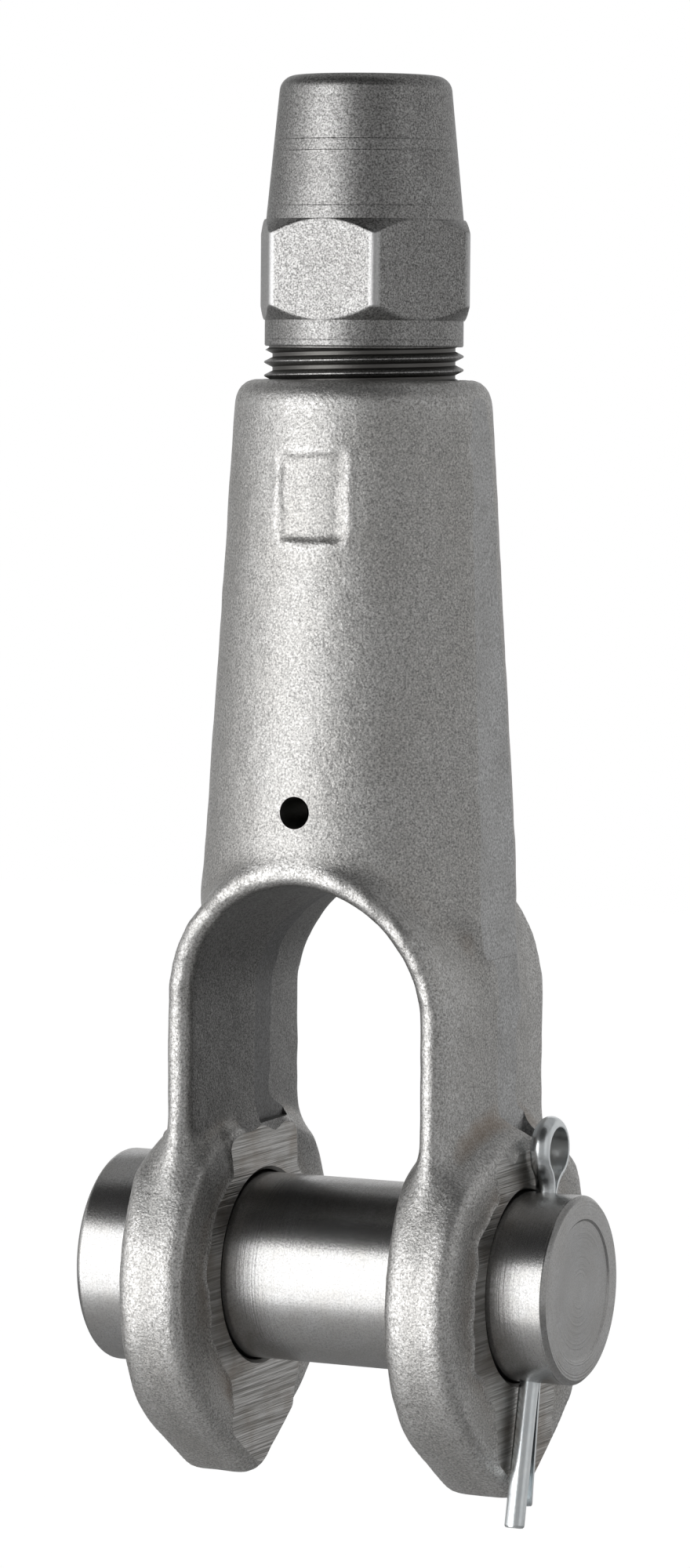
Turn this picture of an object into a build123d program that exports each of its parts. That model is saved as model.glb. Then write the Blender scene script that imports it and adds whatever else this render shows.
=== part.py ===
# Forged clevis end fitting with a screwed hexagon gland, for half-inch wire strand.
# X runs along the clevis pin (head at -X, cotter at +X), Y is the depth with -Y to the front,
# Z runs up the rope. The origin is where the pin's axis crosses the rope's axis, in the jaw.
# The forging is parted at Y = 0. All lengths are in millimetres and all angles in degrees.

from build123d import *
import os
from math import acos, cos, degrees, radians, sin, sqrt, tan

os.makedirs("parts", exist_ok=True)

# Clevis pin, one inch
pin_diameter = 25.4
pin_hole_clearance = 0.75
pin_head_diameter = 29.2
pin_head_length = 10.3
pin_end_overhang = 8.1
pin_end_play = 0.3
pin_edge_break = 0.6
pin_head_edge = 1.0
pin_dish_radius = 9.6
pin_dish_depth = 0.3
pin_turned_angle = 11.0

# Jaw and ears
jaw_width = 27.85
ear_thickness = 11.15
ear_rim_radius = 24.5
ear_rim_drop = 0.9
ear_flank_angle = 56.0
ear_tip_radius = 7.1
ear_face_half_width = 16.0
ear_face_draft = 5.0
ear_inner_rounding = 2.4
ear_outer_rounding = 1.8

# Yoke, an arch on two legs, drafted away from the parting plane
arch_centre_height = 37.0
leg_inset = 1.275
leg_thickness = 6.3
inside_draft = 5.6
outside_draft = 4.0
outside_trim = 0.24
outside_trim_half_width = 4.0
inside_trim = 0.28
inside_trim_half_width = 2.6
leg_half_depth = 18.2
crown_half_depth = 21.7
crown_depth_height = 56.0
leg_depth_height = 41.0
depth_blend_radius = 18.0
leg_foot_height = 19.5
ear_blend_inset = 2.6
ear_blend_radius = 8.0
bead_inner_radius = 1.5
bead_outer_radius = 0.85
flare_outer_radius = 4.0
flare_outer_sink = 1.6
flare_inner_radius = 4.0
flare_inner_sink = 1.8
flare_plan_slant = 4.5

# Barrel, the tapered socket above the yoke
barrel_top_height = 121.0
barrel_top_radius = 17.1
barrel_taper = 3.5
barrel_waist_height = 51.0
barrel_foot_height = 42.0
barrel_foot_radius = 20.0
shoulder_radius = 3.0
flash_flat_top = 16.95
flash_flat_taper = 3.0
stamp_recess_width = 9.1
stamp_recess_height = 11.4
stamp_recess_side_offset = 0.75
stamp_recess_centre_height = 105.5
stamp_recess_depth = 0.45
stamp_recess_corner = 0.8

# Socket bore and cavity
thread_diameter = 26.8
thread_fit_gap = 0.15
thread_drill_diameter = 24.8
threaded_depth = 33.0
cavity_floor_height = 60.0
cavity_corner_radius = 1.0
socket_mouth_chamfer = 0.9
sight_hole_diameter = 4.3
sight_hole_height = 64.0

# Hexagon gland sleeve
sleeve_engagement = 26.0
collar_gap = 4.4
collar_length = 3.5
collar_diameter = 26.7
hexagon_width = 27.0
hexagon_corner_diameter = 30.8
hexagon_length = 13.4
nose_foot_diameter = 26.5
nose_length = 19.2
nose_taper = 5.6
nose_edge_radius = 2.2
nose_bore_diameter = 13.5
nose_bore_length = 21.0
nose_bore_edge = 0.8
sleeve_mouth_diameter = 21.0
sleeve_end_chamfer = 1.1

# Wedge plug, which spreads the strand inside the sleeve
plug_length = 44.0
plug_base_diameter = 15.4
plug_nose_diameter = 8.0
plug_core_diameter = 2.8
plug_edge_break = 0.6
plug_flutes = 6
plug_flute_diameter = 2.6

# Cotter pin, an eighth of an inch
cotter_diameter = 2.95
cotter_hole_clearance = 0.6
cotter_ear_gap = 0.32
cotter_leg_gap = 0.1
cotter_eye_radius = 3.15
cotter_eye_height = 5.7
cotter_throat_radius = 4.0
cotter_near_leg = 19.5
cotter_far_leg = 16.5
cotter_leg_spread = 2.5
cotter_spread_bend = 12.0

# Places worked out from the sizes above
pin_radius = pin_diameter / 2
pin_hole_radius = pin_radius + pin_hole_clearance / 2
ear_inner_x = jaw_width / 2
ear_outer_x = ear_inner_x + ear_thickness
arch_inner_radius = ear_inner_x + leg_inset
arch_outer_radius = arch_inner_radius + leg_thickness
arch_middle_radius = (arch_inner_radius + arch_outer_radius) / 2
ear_middle_x = (ear_inner_x + ear_outer_x) / 2
ear_end_narrowing = (ear_rim_radius - ear_face_half_width) * tan(radians(ear_face_draft))
ear_blend_half_depth = ear_rim_radius - ear_blend_inset
ear_blend_height = sqrt(ear_rim_radius**2 - ear_blend_half_depth**2) - ear_rim_drop
yoke_half_depth = max(crown_half_depth, ear_blend_half_depth)
side_view_top = arch_centre_height + arch_outer_radius + depth_blend_radius
cotter_x = ear_outer_x + cotter_ear_gap + cotter_diameter / 2
pin_end_x = ear_outer_x + pin_end_overhang
pin_head_x = -ear_outer_x - pin_end_play
collar_bottom = barrel_top_height + collar_gap
hexagon_bottom = collar_bottom + collar_length
hexagon_top = hexagon_bottom + hexagon_length
nose_top = hexagon_top + nose_length
sleeve_bottom = barrel_top_height - sleeve_engagement
bore_radius = thread_diameter / 2 + thread_fit_gap
hexagon_corner_step = (hexagon_corner_diameter - hexagon_width) / 2
nose_top_radius = nose_foot_diameter / 2 - nose_length * tan(radians(nose_taper))


def barrel_radius(height):
    return barrel_top_radius + (barrel_top_height - height) * tan(radians(barrel_taper))


def flash_flat_x(height):
    return flash_flat_top + (barrel_top_height - height) * tan(radians(flash_flat_taper))


# One ear. Seen along the pin it has a round rim, two flanks and a round tip. Seen from above it has
# two machined faces that narrow by draft beyond their width. Both rims are rounded.
flank_normal = Vector(cos(radians(ear_flank_angle)), -sin(radians(ear_flank_angle)))
rim_centre = Vector(0, -ear_rim_drop)
tip_centre = Vector(0, (ear_rim_radius - ear_tip_radius) / flank_normal.Y - ear_rim_drop)


def rim_edges(side):
    def is_rim_edge(edge):
        tangent = edge.tangent_at(0.5)
        return (
            (edge.center().X - ear_middle_x) * side > ear_thickness / 4
            and abs(tangent.X) < 0.5
            and abs(tangent.Z) < 0.999
        )

    return ear.edges().filter_by(is_rim_edge)


with BuildPart() as ear:
    with BuildSketch(Plane.YZ.offset(ear_inner_x)) as ear_outline:
        with BuildLine():
            rim_end = rim_centre + flank_normal * ear_rim_radius
            tip_end = tip_centre + flank_normal * ear_tip_radius
            rim_top = rim_centre + Vector(0, ear_rim_radius)
            tip_bottom = tip_centre - Vector(0, ear_tip_radius)
            ThreePointArc((-rim_end.X, rim_end.Y), rim_top, rim_end)
            Line(rim_end, tip_end)
            ThreePointArc(tip_end, tip_bottom, (-tip_end.X, tip_end.Y))
            Line((-tip_end.X, tip_end.Y), (-rim_end.X, rim_end.Y))
        make_face()
    extrude(amount=ear_thickness)
    with BuildSketch(Plane.XY) as ear_plan:
        with BuildLine():
            Polyline(
                (ear_inner_x + ear_end_narrowing, ear_rim_radius),
                (ear_inner_x, ear_face_half_width),
                (ear_inner_x, 0),
                (ear_outer_x, 0),
                (ear_outer_x, ear_face_half_width),
                (ear_outer_x - ear_end_narrowing, ear_rim_radius),
                close=True,
            )
        make_face()
        mirror(about=Plane.XZ)
    extrude(amount=2 * ear_rim_radius, both=True, mode=Mode.INTERSECT)
    fillet(rim_edges(-1), ear_inner_rounding)
    fillet(rim_edges(1), ear_outer_rounding)


# Front half of the yoke: an arch with more draft inside than outside, cut to its depth seen from
# the side, with both front edges rounded into a bead
def distance_from_arch_centre(point):
    return Vector(point.X, 0, max(point.Z - arch_centre_height, 0)).length


def front_edges(inside):
    def is_front_edge(edge):
        return (
            edge.center().Y < -leg_half_depth / 2
            and edge.center().Z > ear_blend_height
            and abs(edge.tangent_at(0.5).Y) < 0.7
            and all(
                (distance_from_arch_centre(edge @ part) < arch_middle_radius) == inside
                for part in (0, 0.5, 1)
            )
        )

    return yoke.edges().filter_by(is_front_edge)


def draw_arch(radius):
    with Locations((0, arch_centre_height)):
        Circle(radius)
    with Locations((0, arch_centre_height / 2)):
        Rectangle(2 * radius, arch_centre_height)


with BuildPart() as yoke:
    with BuildSketch(Plane.XZ) as arch_outside:
        draw_arch(arch_outer_radius)
    extrude(amount=yoke_half_depth, taper=outside_draft)
    with BuildSketch(Plane.XZ) as arch_inside:
        draw_arch(arch_inner_radius)
    extrude(amount=yoke_half_depth, taper=-inside_draft, mode=Mode.SUBTRACT)
    with BuildSketch(Plane.YZ) as side_view:
        with BuildLine():
            depth_line = FilletPolyline(
                (-crown_half_depth, side_view_top),
                (-crown_half_depth, crown_depth_height),
                (-leg_half_depth, leg_depth_height),
                (-leg_half_depth, leg_foot_height),
                (-ear_blend_half_depth, ear_blend_height),
                radius=[depth_blend_radius, depth_blend_radius, ear_blend_radius],
            )
            Polyline(
                depth_line @ 1,
                (-ear_blend_half_depth, 0),
                (0, 0),
                (0, side_view_top),
                depth_line @ 0,
            )
        make_face()
    extrude(amount=arch_outer_radius, both=True, mode=Mode.INTERSECT)
    fillet(front_edges(inside=True), bead_inner_radius)
    fillet(front_edges(inside=False), bead_outer_radius)

# Barrel: a cone with a rounded shoulder, trimmed flat along the flash line on both sides,
# its foot cut away by the middle of the arch so that it ends inside the yoke
with BuildPart() as barrel:
    with BuildSketch(Plane.XZ) as barrel_half:
        with BuildLine():
            Polyline(
                (0, barrel_foot_height),
                (barrel_foot_radius, barrel_foot_height),
                (barrel_radius(barrel_waist_height), barrel_waist_height),
                (barrel_radius(barrel_top_height), barrel_top_height),
                (0, barrel_top_height),
                close=True,
            )
        make_face()
        fillet(barrel_half.vertices().sort_by(Axis.Y)[-2:].sort_by(Axis.X)[-1], shoulder_radius)
    revolve(axis=Axis.Z)
    with BuildSketch(Plane.XZ) as beyond_flash_flat:
        with BuildLine():
            Polyline(
                (flash_flat_x(barrel_foot_height), barrel_foot_height),
                (flash_flat_x(barrel_top_height), barrel_top_height),
                (2 * ear_outer_x, barrel_top_height),
                (2 * ear_outer_x, barrel_foot_height),
                close=True,
            )
        make_face()
        mirror(about=Plane.YZ)
    extrude(amount=ear_rim_radius, both=True, mode=Mode.SUBTRACT)
    with BuildSketch(Plane.XZ) as under_arch:
        draw_arch(arch_middle_radius)
    extrude(amount=2 * ear_rim_radius, both=True, mode=Mode.SUBTRACT)

# Flare that runs from the rim of an ear up onto the leg, on the outside and inside of the leg.
# It is turned about the pin's axis and then cut to the leg's plan.
outer_level = ear_outer_x - ear_outer_rounding
inner_level = ear_inner_x + ear_inner_rounding
outer_foot_x = arch_outer_radius - flare_outer_sink
inner_foot_x = arch_inner_radius + flare_inner_sink
outer_reach = sqrt(flare_outer_radius**2 - (outer_foot_x + flare_outer_radius - outer_level) ** 2)
inner_reach = sqrt(flare_inner_radius**2 - (inner_level + flare_inner_radius - inner_foot_x) ** 2)
outer_foot = (outer_foot_x, ear_rim_radius + outer_reach)
inner_foot = (inner_foot_x, ear_rim_radius + inner_reach)

with BuildPart() as flare:
    with BuildSketch(Plane.XY.offset(-ear_rim_drop)) as flare_section:
        with BuildLine():
            Line((inner_level, 0), (inner_level, ear_rim_radius))
            RadiusArc((inner_level, ear_rim_radius), inner_foot, flare_inner_radius)
            Line(inner_foot, outer_foot)
            RadiusArc(outer_foot, (outer_level, ear_rim_radius), flare_outer_radius)
            Polyline((outer_level, ear_rim_radius), (outer_level, 0), (inner_level, 0))
        make_face()
    revolve(axis=Axis((0, 0, -ear_rim_drop), (1, 0, 0)))
    with BuildSketch(Plane.XY) as leg_plan:
        with BuildLine():
            Polyline(
                (inner_level, 0),
                (inner_level, -leg_half_depth + flare_plan_slant),
                (inner_foot_x, -leg_half_depth),
                (outer_foot_x, -leg_half_depth),
                (outer_level, -leg_half_depth + flare_plan_slant),
                (outer_level, 0),
                close=True,
            )
        make_face()
        mirror(about=Plane.XZ)
    extrude(amount=2 * ear_rim_radius, mode=Mode.INTERSECT)

# Panel that is forged into the front of the barrel, as deep all over as the barrel is round
with BuildPart() as stamp_recess:
    with BuildSketch(Plane.XZ) as panel:
        with Locations((stamp_recess_side_offset, stamp_recess_centre_height)):
            RectangleRounded(stamp_recess_width, stamp_recess_height, stamp_recess_corner)
    extrude(amount=2 * barrel_top_radius)
    with BuildSketch(Plane.XZ) as under_panel:
        with BuildLine():
            Polyline(
                (0, barrel_waist_height),
                (barrel_radius(barrel_waist_height) - stamp_recess_depth, barrel_waist_height),
                (barrel_radius(barrel_top_height) - stamp_recess_depth, barrel_top_height),
                (0, barrel_top_height),
                close=True,
            )
        make_face()
    revolve(axis=Axis.Z, mode=Mode.SUBTRACT)

# The forging: both halves of the yoke with their flash trimmed off, the two ears and the barrel
with BuildPart() as clevis_socket:
    add(yoke.part)
    mirror(about=Plane.XZ)
    with BuildSketch(Plane.XZ) as inside_flash:
        draw_arch(arch_inner_radius + inside_trim)
    extrude(amount=inside_trim_half_width, both=True, mode=Mode.SUBTRACT)
    with BuildSketch(Plane.XZ) as outside_flash:
        draw_arch(2 * arch_outer_radius)
        with Locations((0, arch_centre_height / 2)):
            Rectangle(2 * (arch_outer_radius - outside_trim), 4 * arch_outer_radius, mode=Mode.SUBTRACT)
    extrude(amount=outside_trim_half_width, both=True, mode=Mode.SUBTRACT)
    add([ear.part, flare.part])
    add([ear.part.mirror(Plane.YZ), flare.part.mirror(Plane.YZ)])
    add(barrel.part)
    add(stamp_recess.part, mode=Mode.SUBTRACT)

    # Bore from the top: mouth, thread and the drilled cavity under it
    with BuildSketch(Plane.XZ) as bore_half:
        with BuildLine():
            Polyline(
                (0, cavity_floor_height),
                (thread_drill_diameter / 2, cavity_floor_height),
                (thread_drill_diameter / 2, barrel_top_height - threaded_depth),
                (bore_radius, barrel_top_height - threaded_depth),
                (bore_radius, barrel_top_height - socket_mouth_chamfer),
                (bore_radius + socket_mouth_chamfer, barrel_top_height),
                (0, barrel_top_height),
                close=True,
            )
        make_face()
        fillet(bore_half.vertices().sort_by(Axis.Y)[:2].sort_by(Axis.X)[-1], cavity_corner_radius)
    revolve(axis=Axis.Z, mode=Mode.SUBTRACT)

    # Sight hole into the cavity
    with BuildSketch(Plane.XZ) as sight_hole:
        with Locations((0, sight_hole_height)):
            Circle(sight_hole_diameter / 2)
    extrude(amount=barrel_radius(sight_hole_height) + sight_hole_diameter, mode=Mode.SUBTRACT)

    # Pin hole through both ears
    with BuildSketch(Plane.YZ) as pin_hole:
        Circle(pin_hole_radius)
    extrude(amount=ear_outer_x + ear_thickness, both=True, mode=Mode.SUBTRACT)

clevis_socket.part.label = "clevis_socket"
export_step(clevis_socket.part, "parts/clevis_socket.step")

# Hexagon sleeve: plain shank for the thread, collar, turned hexagon and tapered nose,
# bored for the strand and opening below into the cone that holds the wedge
with BuildPart() as hex_sleeve:
    with BuildSketch(Plane.XY.offset(hexagon_bottom)) as hexagon:
        RegularPolygon(hexagon_width / 2, 6, major_radius=False)
    extrude(amount=hexagon_length)
    with BuildSketch(Plane.XZ) as turned_corners:
        with BuildLine():
            Polyline(
                (0, hexagon_bottom),
                (hexagon_width / 2, hexagon_bottom),
                (hexagon_corner_diameter / 2, hexagon_bottom + hexagon_corner_step),
                (hexagon_corner_diameter / 2, hexagon_top - hexagon_corner_step),
                (hexagon_width / 2, hexagon_top),
                (0, hexagon_top),
                close=True,
            )
        make_face()
    revolve(axis=Axis.Z, mode=Mode.INTERSECT)
    with BuildSketch(Plane.XZ) as round_half:
        with BuildLine():
            Polyline(
                (0, sleeve_bottom),
                (thread_diameter / 2 - sleeve_end_chamfer, sleeve_bottom),
                (thread_diameter / 2, sleeve_bottom + sleeve_end_chamfer),
                (thread_diameter / 2, collar_bottom),
                (collar_diameter / 2, collar_bottom),
                (collar_diameter / 2, hexagon_bottom),
                (nose_foot_diameter / 2, hexagon_bottom),
                (nose_foot_diameter / 2, hexagon_top),
                (nose_top_radius, nose_top),
                (0, nose_top),
                close=True,
            )
        make_face()
        fillet(round_half.vertices().sort_by(Axis.Y)[-2:].sort_by(Axis.X)[-1], nose_edge_radius)
    revolve(axis=Axis.Z)
    with BuildSketch(Plane.XZ) as sleeve_bore:
        with BuildLine():
            Polyline(
                (0, sleeve_bottom),
                (sleeve_mouth_diameter / 2, sleeve_bottom),
                (nose_bore_diameter / 2, nose_top - nose_bore_length),
                (nose_bore_diameter / 2, nose_top - nose_bore_edge),
                (nose_bore_diameter / 2 + nose_bore_edge, nose_top),
                (0, nose_top),
                close=True,
            )
        make_face()
    revolve(axis=Axis.Z, mode=Mode.SUBTRACT)

hex_sleeve.part.label = "hex_sleeve"
export_step(hex_sleeve.part, "parts/hex_sleeve.step")

# Wedge plug: a fluted cone, bored for the strand's core, standing on the cavity floor
with BuildPart() as wedge_plug:
    with BuildSketch(Plane.XZ) as plug_half:
        with BuildLine():
            Polyline(
                (0, cavity_floor_height),
                (plug_base_diameter / 2, cavity_floor_height),
                (plug_nose_diameter / 2, cavity_floor_height + plug_length),
                (0, cavity_floor_height + plug_length),
                close=True,
            )
        make_face()
        chamfer(plug_half.vertices().sort_by(Axis.X)[2:], plug_edge_break)
    revolve(axis=Axis.Z)
    with BuildSketch(Plane.XY.offset(cavity_floor_height)) as plug_core:
        Circle(plug_core_diameter / 2)
    extrude(amount=plug_length, mode=Mode.SUBTRACT)
    plug_slope = Vector(plug_nose_diameter / 2 - plug_base_diameter / 2, 0, plug_length)
    flute_foot = Vector(plug_base_diameter / 2, 0, cavity_floor_height)
    with BuildSketch(Plane(origin=flute_foot - plug_slope / 4, z_dir=plug_slope)) as flute_section:
        Circle(plug_flute_diameter / 2)
    flute = extrude(amount=1.5 * plug_slope.length, mode=Mode.PRIVATE)
    with PolarLocations(0, plug_flutes):
        add(flute, mode=Mode.SUBTRACT)

wedge_plug.part.label = "wedge_plug"
export_step(wedge_plug.part, "parts/wedge_plug.step")

# Clevis pin: turned shank and head, the far end broken and slightly dished, drilled for the cotter
cotter_tilt = radians(pin_turned_angle)
cotter_plane = Plane(
    origin=(cotter_x, 0, 0), x_dir=(0, cos(cotter_tilt), -sin(cotter_tilt)), z_dir=(1, 0, 0)
)

with BuildPart() as clevis_pin:
    with BuildSketch(Plane.XY) as pin_half:
        with BuildLine():
            Polyline(
                (pin_end_x - pin_dish_depth, 0),
                (pin_head_x - pin_head_length, 0),
                (pin_head_x - pin_head_length, pin_head_diameter / 2),
                (pin_head_x, pin_head_diameter / 2),
                (pin_head_x, pin_radius),
                (pin_end_x, pin_radius),
                (pin_end_x, pin_dish_radius),
                close=True,
            )
        make_face()
        chamfer(pin_half.vertices().sort_by(Axis.X)[-2:].sort_by(Axis.Y)[-1], pin_edge_break)
        fillet(pin_half.vertices().sort_by(Axis.Y)[-2:], pin_head_edge)
    revolve(axis=Axis.X)
    with BuildSketch(Plane(origin=(cotter_x, 0, 0), z_dir=cotter_plane.y_dir)) as cotter_hole:
        Circle(cotter_diameter / 2 + cotter_hole_clearance / 2)
    extrude(amount=pin_diameter, both=True, mode=Mode.SUBTRACT)

clevis_pin.part.label = "clevis_pin"
export_step(clevis_pin.part, "parts/clevis_pin.step")

# Cotter pin: one half-round wire, folded into an eye, its legs bent apart under the pin.
# Its route is the wire's flat side, drawn in the cotter's own plane with the legs pointing down.
eye_centre_height = pin_radius + cotter_eye_height
flat_side = cotter_leg_gap / 2
throat_rise = sqrt(
    (cotter_eye_radius + cotter_throat_radius) ** 2 - (flat_side + cotter_throat_radius) ** 2
)
throat_height = eye_centre_height - throat_rise
throat_turn = degrees(acos((flat_side + cotter_throat_radius) / (cotter_eye_radius + cotter_throat_radius)))

with BuildPart() as cotter_pin:
    with BuildLine(cotter_plane) as wire_route:
        near_bend = JernArc((-flat_side, -pin_radius), (0, -1), cotter_spread_bend, -cotter_leg_spread)
        near_leg = Line(
            near_bend @ 1, near_bend @ 1 + (cotter_near_leg - near_bend.length) * (near_bend % 1)
        )
        near_stem = Line((-flat_side, -pin_radius), (-flat_side, throat_height))
        near_throat = JernArc(near_stem @ 1, (0, 1), cotter_throat_radius, throat_turn)
        eye = JernArc(near_throat @ 1, near_throat % 1, cotter_eye_radius, -180 - 2 * throat_turn)
        far_throat = JernArc(eye @ 1, eye % 1, cotter_throat_radius, throat_turn)
        far_stem = Line((flat_side, throat_height), (flat_side, -pin_radius))
        far_bend = JernArc((flat_side, -pin_radius), (0, -1), cotter_spread_bend, cotter_leg_spread)
        far_leg = Line(far_bend @ 1, far_bend @ 1 + (cotter_far_leg - far_bend.length) * (far_bend % 1))
    route = wire_route.wire()
    with BuildSketch(Plane(origin=route @ 0, x_dir=(1, 0, 0), z_dir=route % 0)) as wire_section:
        with BuildLine():
            CenterArc((0, 0), cotter_diameter / 2 - flat_side, 0, 180)
            Line((cotter_diameter / 2 - flat_side, 0), (flat_side - cotter_diameter / 2, 0))
        make_face()
    sweep(path=route)

cotter_pin.part.label = "cotter_pin"
export_step(cotter_pin.part, "parts/cotter_pin.step")
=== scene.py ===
# Forged clevis strand fitting: looks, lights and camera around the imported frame.
# X runs along the pin, -Y to the front, Z up the strand, as in the CAD. Pieces are shaped in
# millimetres and their meshes are scaled to metres at the end.

import functools
import math

import bmesh
import bpy
import numpy as np
import openvdb
from mathutils import Matrix, Vector


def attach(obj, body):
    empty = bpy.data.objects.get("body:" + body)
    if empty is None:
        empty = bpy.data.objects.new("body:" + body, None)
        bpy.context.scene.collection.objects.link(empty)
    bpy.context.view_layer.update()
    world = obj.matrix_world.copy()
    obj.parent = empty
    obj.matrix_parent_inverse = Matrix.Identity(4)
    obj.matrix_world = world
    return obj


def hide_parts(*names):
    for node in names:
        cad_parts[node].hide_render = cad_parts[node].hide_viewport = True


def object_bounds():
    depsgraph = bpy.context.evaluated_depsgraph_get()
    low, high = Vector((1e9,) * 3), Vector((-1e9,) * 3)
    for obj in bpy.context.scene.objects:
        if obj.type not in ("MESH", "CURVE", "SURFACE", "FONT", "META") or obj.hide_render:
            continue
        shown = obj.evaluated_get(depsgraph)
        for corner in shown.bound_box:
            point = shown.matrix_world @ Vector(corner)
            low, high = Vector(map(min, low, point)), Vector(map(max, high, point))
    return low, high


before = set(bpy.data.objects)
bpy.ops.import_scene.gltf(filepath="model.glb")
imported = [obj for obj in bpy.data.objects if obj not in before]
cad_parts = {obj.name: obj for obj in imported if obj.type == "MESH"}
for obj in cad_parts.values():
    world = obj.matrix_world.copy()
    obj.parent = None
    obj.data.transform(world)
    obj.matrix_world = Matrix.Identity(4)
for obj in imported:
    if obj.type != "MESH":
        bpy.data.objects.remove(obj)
cad_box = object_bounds()

MM = 0.001
WHITE = (1.0, 1.0, 1.0, 1.0)

# Camera, fitted to the outlines of the photograph
CAMERA_AZIMUTH = math.radians(25.365)
CAMERA_PITCH = math.radians(4.309)
CAMERA_ROLL = math.radians(0.4445)
CAMERA_DISTANCE = 770.66 * MM
CAMERA_SIDE = -2.10 * MM
CAMERA_HEIGHT = 124.56 * MM
CAMERA_LENS = 131.404
CAMERA_SENSOR = 36.0
CAMERA_REACH = (0.05, 20.0)

# Sizes that the looks share with the solids, in millimetres
EAR_INNER = 13.925
EAR_OUTER = 25.075
EAR_MIDDLE = (EAR_INNER + EAR_OUTER) / 2
EAR_RIM_RADIUS = 24.5
EAR_RIM_DROP = 0.9
EAR_FLANK = math.radians(56)
EAR_TIP_RADIUS = 7.1
ARCH_HEIGHT = 37.0
ARCH_INNER = 15.2
ARCH_OUTER = 21.5
INSIDE_DRAFT = math.radians(5.6)
OUTSIDE_DRAFT = math.radians(4.0)
BARREL_TOP = 121.0
BARREL_TOP_RADIUS = 17.1
BARREL_TAPER = math.radians(3.5)
FLAT_TOP = 16.95
FLAT_TAPER = math.radians(3.0)
CAVITY_FLOOR = 60.0
CAVITY_ROUND = 1.0
THREAD_FLOOR = 88.0
BORE_RADIUS = 13.55
BORE_CHAMFER = 0.9
DRILL_RADIUS = 12.4
SIGHT_RADIUS = 2.15
SIGHT_HEIGHT = 64.0
SIGHT_REACH = (-30.0, -5.0)
PANEL_MIDDLE = (0.75, 105.5)
PANEL_HALF = (4.55, 5.7)
PIN_RADIUS = 12.7
PIN_END = 33.175
PIN_END_CHAMFER = 0.6
PIN_HEAD = -25.375
PIN_HEAD_RADIUS = 14.6
PIN_HEAD_THICKNESS = 10.3
PIN_HOLE_RADIUS = 13.075
PIN_HOLE_CHAMFER = 0.45
COLLAR_BOTTOM = 125.4
COLLAR_RADIUS = 13.35
HEX_BOTTOM = 128.9
HEX_TOP = 142.3
HEX_WIDTH = 27.0
HEX_CORNER_RADIUS = 15.4
HEX_CHAMFER = 2.6
NOSE_TOP = 161.5
NOSE_RADII = (13.25, 11.367)
NOSE_ROUND = 2.2
SLEEVE_BOTTOM = 95.0
STRAND_BORE_RADIUS = 6.75
CONE_RADIUS = 10.5
CONE_TOP = 140.5
THREAD_RADIUS = 13.4
THREAD_PITCH = 25.4 / 14
THREAD_DEPTH = 0.6134 * THREAD_PITCH
COTTER_X = 26.87
COTTER_TILT = math.radians(11)
COTTER_HOLE_RADIUS = 1.775
WIRE_RADIUS = 1.425
WIRE_GAP = 0.05
EYE_RADIUS = 3.15
EYE_RISE = 5.7
THROAT_RADIUS = 4.0
LEG_BEND_RADIUS = 12.0
LEG_SPREAD = math.radians(2.5)
NEAR_LEG = 19.5
FAR_LEG = 16.5

# Grid that the forged skin is worked out on, as distances from its surface
VOXEL = 0.6
GRID_LOW = (-29.5, -29.0, -33.5)
GRID_HIGH = (29.5, 29.0, 125.5)
BAND = 11
CONCAVE_RADIUS = 3.0
CONVEX_RADIUS = 1.4
SKIN_PASSES = 2
GENTLE_PASSES = 14

# Fills that close the holes and the cut sides, so that the dies' own shape is left
TOP_RIM = 4.0
BORE_FILL = 15.0
PIN_FILL = 14.0
LEG_FILL_HALF = 4.5
LEG_FILL_BOTTOM = 24.0
ARCH_FILL = 20.0
ARCH_FILL_HALF = 3.2
SIDE_FILL_X = (17.0, 21.3)
SIDE_FILL_REAR = 6.5
SIDE_FILL_BOTTOM = 39.0
SIDE_FILL_MARGIN = 0.3
SIDE_FILL_OVERLAP = 1.0

# Hollow necks over the ears, each given by how far in it runs and the height where it starts, and
# the bevel round the ears' rear edges
OUTER_NECK = (19.5, 20.2)
INNER_NECK = (17.5, 20.0)
NECK_AXIS_DROP = 12.0
NECK_RISE = 5.0
NECK_RADIUS = 7.0
BEVEL_SLOPE = 1.15
BEVEL_STEEPNESS = 0.7
BEVEL_START = 2.3
BEVEL_EXTRA = 0.7
BEVEL_EXTRA_Z = (0, -10)
BEVEL_TOP = 16

# Roughness of the skin and of the borders on it, as layers of lumps: depth, width and seed
SKIN_LUMPS = ((0.022, 1.6, 11), (0.016, 4.0, 12), (0.03, 14.0, 13))
GROUND_LUMPS = ((0.5, 1.9, 21), (0.45, 5.0, 22))
PANEL_LUMPS = ((0.11, 2.5, 41),)
LIP_LUMPS = ((0.6, 2.4, 51),)

# Ground faces of the ears
GROUND_DISC = 16.7
GROUND_DISC_DROP = 1
GROUND_STRIP_HALF = 9.5
GROUND_STRIP_TOP = 19
GROUND_BORDER = 0.6
FACE_RECESS = 0.2
FACE_ALLOWANCE = 0.5
FACE_REACH = (1.8, 0.6)
FACE_TOP = (26, 22)
FACE_RIM = (-0.9, -2.4)

# Stamped panel on the front of the barrel
PANEL_DEPTH = 0.5
PANEL_WALL = (0.35, -0.55)
PANEL_RIM_HEIGHT = 0.11
PANEL_RIM_PLACE = 0.5
PANEL_RIM_WIDTH = 0.55
PANEL_FRONT = (-8, -11)

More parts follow.
